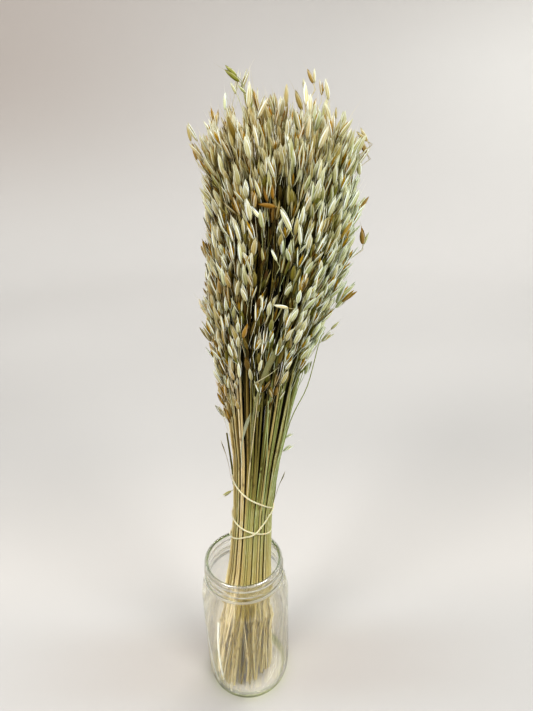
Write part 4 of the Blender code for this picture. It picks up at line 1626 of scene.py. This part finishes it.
def paper(settings):
    """Pale paper with painted light and shade: a pool of light just behind the jar, lighter further back,
    painted shade on the left and top of its wall and painted light on its right, painted shade on the floor
    to the right, and a painted shadow round the jar's foot.
    """

    def write(graph):
        place = graph.place()
        x, y, z = graph.parts(place)
        grain = graph.noise(place, 60.0, 3.0)
        # Painted shade on the left of the wall, and painted light on its right
        left = (0.35 - x).between(0.0, 1.7) * z.between(0.0, 0.9)
        right = (x - 0.2).between(0.0, 1.3) * z.between(0.0, 0.9)
        # Painted shadow round the jar's foot
        jar_shadow_mask = (1 - abs(x).between(0.06, 0.40)) * (1 - abs(y).between(0.015, 0.085))
        # Painted light on the far floor's left corner, and painted shade on the nearer floor, more of it to
        # the right
        left_corner_light = (0.1 - x).between(0.0, 0.9) * y.between(0.6, 1.15) * (1 - z.between(0.0, 0.15))
        right_floor_shade = x.between(-0.45, 0.45) * (1 - y.between(0.45, 0.95))
        # Each colour over the ones before it, with how much of it shows where. Apart from the grain, the
        # layers paint light and shade on the paper
        base = settings.floor
        layers = (
            # Painted pool of light just behind the jar
            (y.between(0.02, 0.17), settings.bright),
            (y.between(0.18, 0.50), settings.far_floor),
            # Far floor painted lighter, as light towards the wall
            (y.between(0.85, 1.85), settings.wall),
            (left, settings.wall_left_shade),
            (right, settings.wall_right_light),
            # Painted shade at the top of the wall
            (z.between(0.75, 1.3) * 0.3, settings.wall_left_shade),
            (jar_shadow_mask * 0.55, settings.painted_jar_shadow),
            (left_corner_light * 0.7, settings.wall),
            (right_floor_shade * 0.12, (0, 0, 0)),
            (grain * 0.03, (0.5, 0.5, 0.5)),
        )
        for amount, over in layers:
            base = graph.mix(amount, base, over)
        return {"Base Color": base}, None

    return new_material("paper", write, Roughness=0.9, Specular_IOR_Level=0.1)


def add_camera():
    data = bpy.data.cameras.new("camera")
    data.sensor_fit = "VERTICAL"
    data.sensor_height = SENSOR
    data.sensor_width = SENSOR
    data.lens = CAMERA_FOCUS / PICTURE_HEIGHT * SENSOR
    data.clip_start, data.clip_end = CLIP_START, CLIP_END
    camera = link("camera", data)
    forward = Vector((0, math.cos(CAMERA_DOWN), -math.sin(CAMERA_DOWN)))
    level = Vector((1, 0, 0))
    up = level.cross(forward)
    right = math.cos(CAMERA_ROLL) * level + math.sin(CAMERA_ROLL) * up
    above = -math.sin(CAMERA_ROLL) * level + math.cos(CAMERA_ROLL) * up
    turn = Matrix((right, above, -forward)).transposed().to_4x4()
    camera.matrix_world = Matrix.Translation(CAMERA_PLACE) @ turn
    bpy.context.scene.camera = camera


def add_light(name, place, target, size, power):
    data = bpy.data.lights.new(name, "AREA")
    data.shape = "DISK"
    data.size = size
    data.energy = power
    light = link(name, data)
    light.location = place
    light.rotation_euler = (Vector(target) - Vector(place)).to_track_quat("-Z", "Y").to_euler()
    light.visible_camera = False


# Operators, panel and registration


class OATS_OT_stage(bpy.types.Operator):
    """Adds the paper floor, the lights and the camera"""

    bl_idname = "oats.stage"
    bl_label = "Stage"

    def execute(self, context):
        settings = context.scene.oats_stage
        floor = turned("paper", through(PAPER_OUTLINE, PAPER_STEPS), PAPER_SIDES)
        floor.data.flip_normals()
        floor.data.materials.append(paper(settings))
        floor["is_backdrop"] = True
        add_camera()
        for name, place, target, size, power in LIGHTS:
            add_light(name, place, target, size, settings.key_power * power)
        world = bpy.data.worlds.new("sky")
        context.scene.world = world
        world.use_nodes = True
        background = world.node_tree.nodes["Background"]
        background.inputs["Color"].default_value = SKY_COLOUR
        background.inputs["Strength"].default_value = settings.sky
        context.scene.view_settings.view_transform = "Standard"
        context.scene.view_settings.look = "Medium High Contrast"
        return {"FINISHED"}


class OATS_OT_jar(bpy.types.Operator):
    """Builds the glass jar"""

    bl_idname = "oats.jar"
    bl_label = "Jar"

    def execute(self, context):
        settings = context.scene.oats_jar
        outline = [(max(radius, 0.0), z) for radius, z in through(JAR_OUTLINE, OUTLINE_STEPS)]
        outline[0], outline[-1] = JAR_OUTLINE[0], JAR_OUTLINE[-1]
        jar = turned("jar", outline, settings.steps, bend_jar(settings))
        jar.data.materials.append(glass(settings))
        stand_for(jar, "clear_glass", "glass_jar")
        return {"FINISHED"}


class OATS_OT_band(bpy.types.Operator):
    """Winds the rubber band round the stems"""

    bl_idname = "oats.band"
    bl_label = "Rubber band"

    def execute(self, context):
        settings = context.scene.oats_band
        lines = Lines()
        count = BAND_TURNS * BAND_POINTS_PER_TURN
        for i in range(count):
            turns = i / BAND_POINTS_PER_TURN
            z = band_height(turns)
            azimuth = math.pi + 2 * math.pi * turns
            sunk = BAND_SUNK * max(0.0, math.cos(azimuth))
            reach = reach_at(z) + BAND_GAP - sunk + settings.radius + band_lift(turns)
            number = lines.add(in_bunch(azimuth, reach, z), girth=settings.radius)
            lines.edges.append((number, (i + 1) % count))
        band = grown("band", lines.mesh("band"), straw_tree(), sides=BAND_SIDES, material=latex(settings))
        stand_for(band, "band_rubber", "rubber_band")
        return {"FINISHED"}


class OATS_OT_strands(bpy.types.Operator):
    """Grows the six strands of oat plants"""

    bl_idname = "oats.strands"
    bl_label = "Oat strands"

    def execute(self, context):
        settings = context.scene.oats_plants
        trees = (straw_tree(), panicle_tree())
        materials = (straw(settings), husk(settings))
        spikelets = spikelet_collection()
        for strand in STRANDS:
            build_strand(strand, settings, trees, materials, spikelets)
        remove_collection(spikelets)
        build_leaves(settings)
        return {"FINISHED"}


OPERATORS = (OATS_OT_stage, OATS_OT_jar, OATS_OT_band, OATS_OT_strands)
GROUPS = {
    "oats_jar": JarSettings,
    "oats_band": BandSettings,
    "oats_plants": OatSettings,
    "oats_stage": StageSettings,
}


class OATS_PT_panel(bpy.types.Panel):
    """Lists the steps, and the settings of each"""

    bl_idname = "OATS_PT_panel"
    bl_label = "Dried Oats Bundle"
    bl_space_type = "VIEW_3D"
    bl_region_type = "UI"
    bl_category = "Oats"

    def draw(self, context):
        for operator in OPERATORS:
            self.layout.operator(operator.bl_idname)
        for name, group in GROUPS.items():
            box = self.layout.box()
            settings = getattr(context.scene, name)
            for key in group.__annotations__:
                box.prop(settings, key)


def register():
    for group in GROUPS.values():
        bpy.utils.register_class(group)
    for name, group in GROUPS.items():
        setattr(bpy.types.Scene, name, PointerProperty(type=group))
    for operator in OPERATORS:
        bpy.utils.register_class(operator)
    bpy.utils.register_class(OATS_PT_panel)


def unregister():
    bpy.utils.unregister_class(OATS_PT_panel)
    for operator in reversed(OPERATORS):
        bpy.utils.unregister_class(operator)
    for name in GROUPS:
        delattr(bpy.types.Scene, name)
    for group in reversed(list(GROUPS.values())):
        bpy.utils.unregister_class(group)


def main():
    register()
    bpy.ops.oats.stage()
    bpy.ops.oats.jar()
    bpy.ops.oats.band()
    bpy.ops.oats.strands()
    boxes = {"cad": CAD_BOX, "visual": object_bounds()}
    {name: [list(corner) for corner in box] for name, box in boxes.items()}


if __name__ == "__main__":
    main()
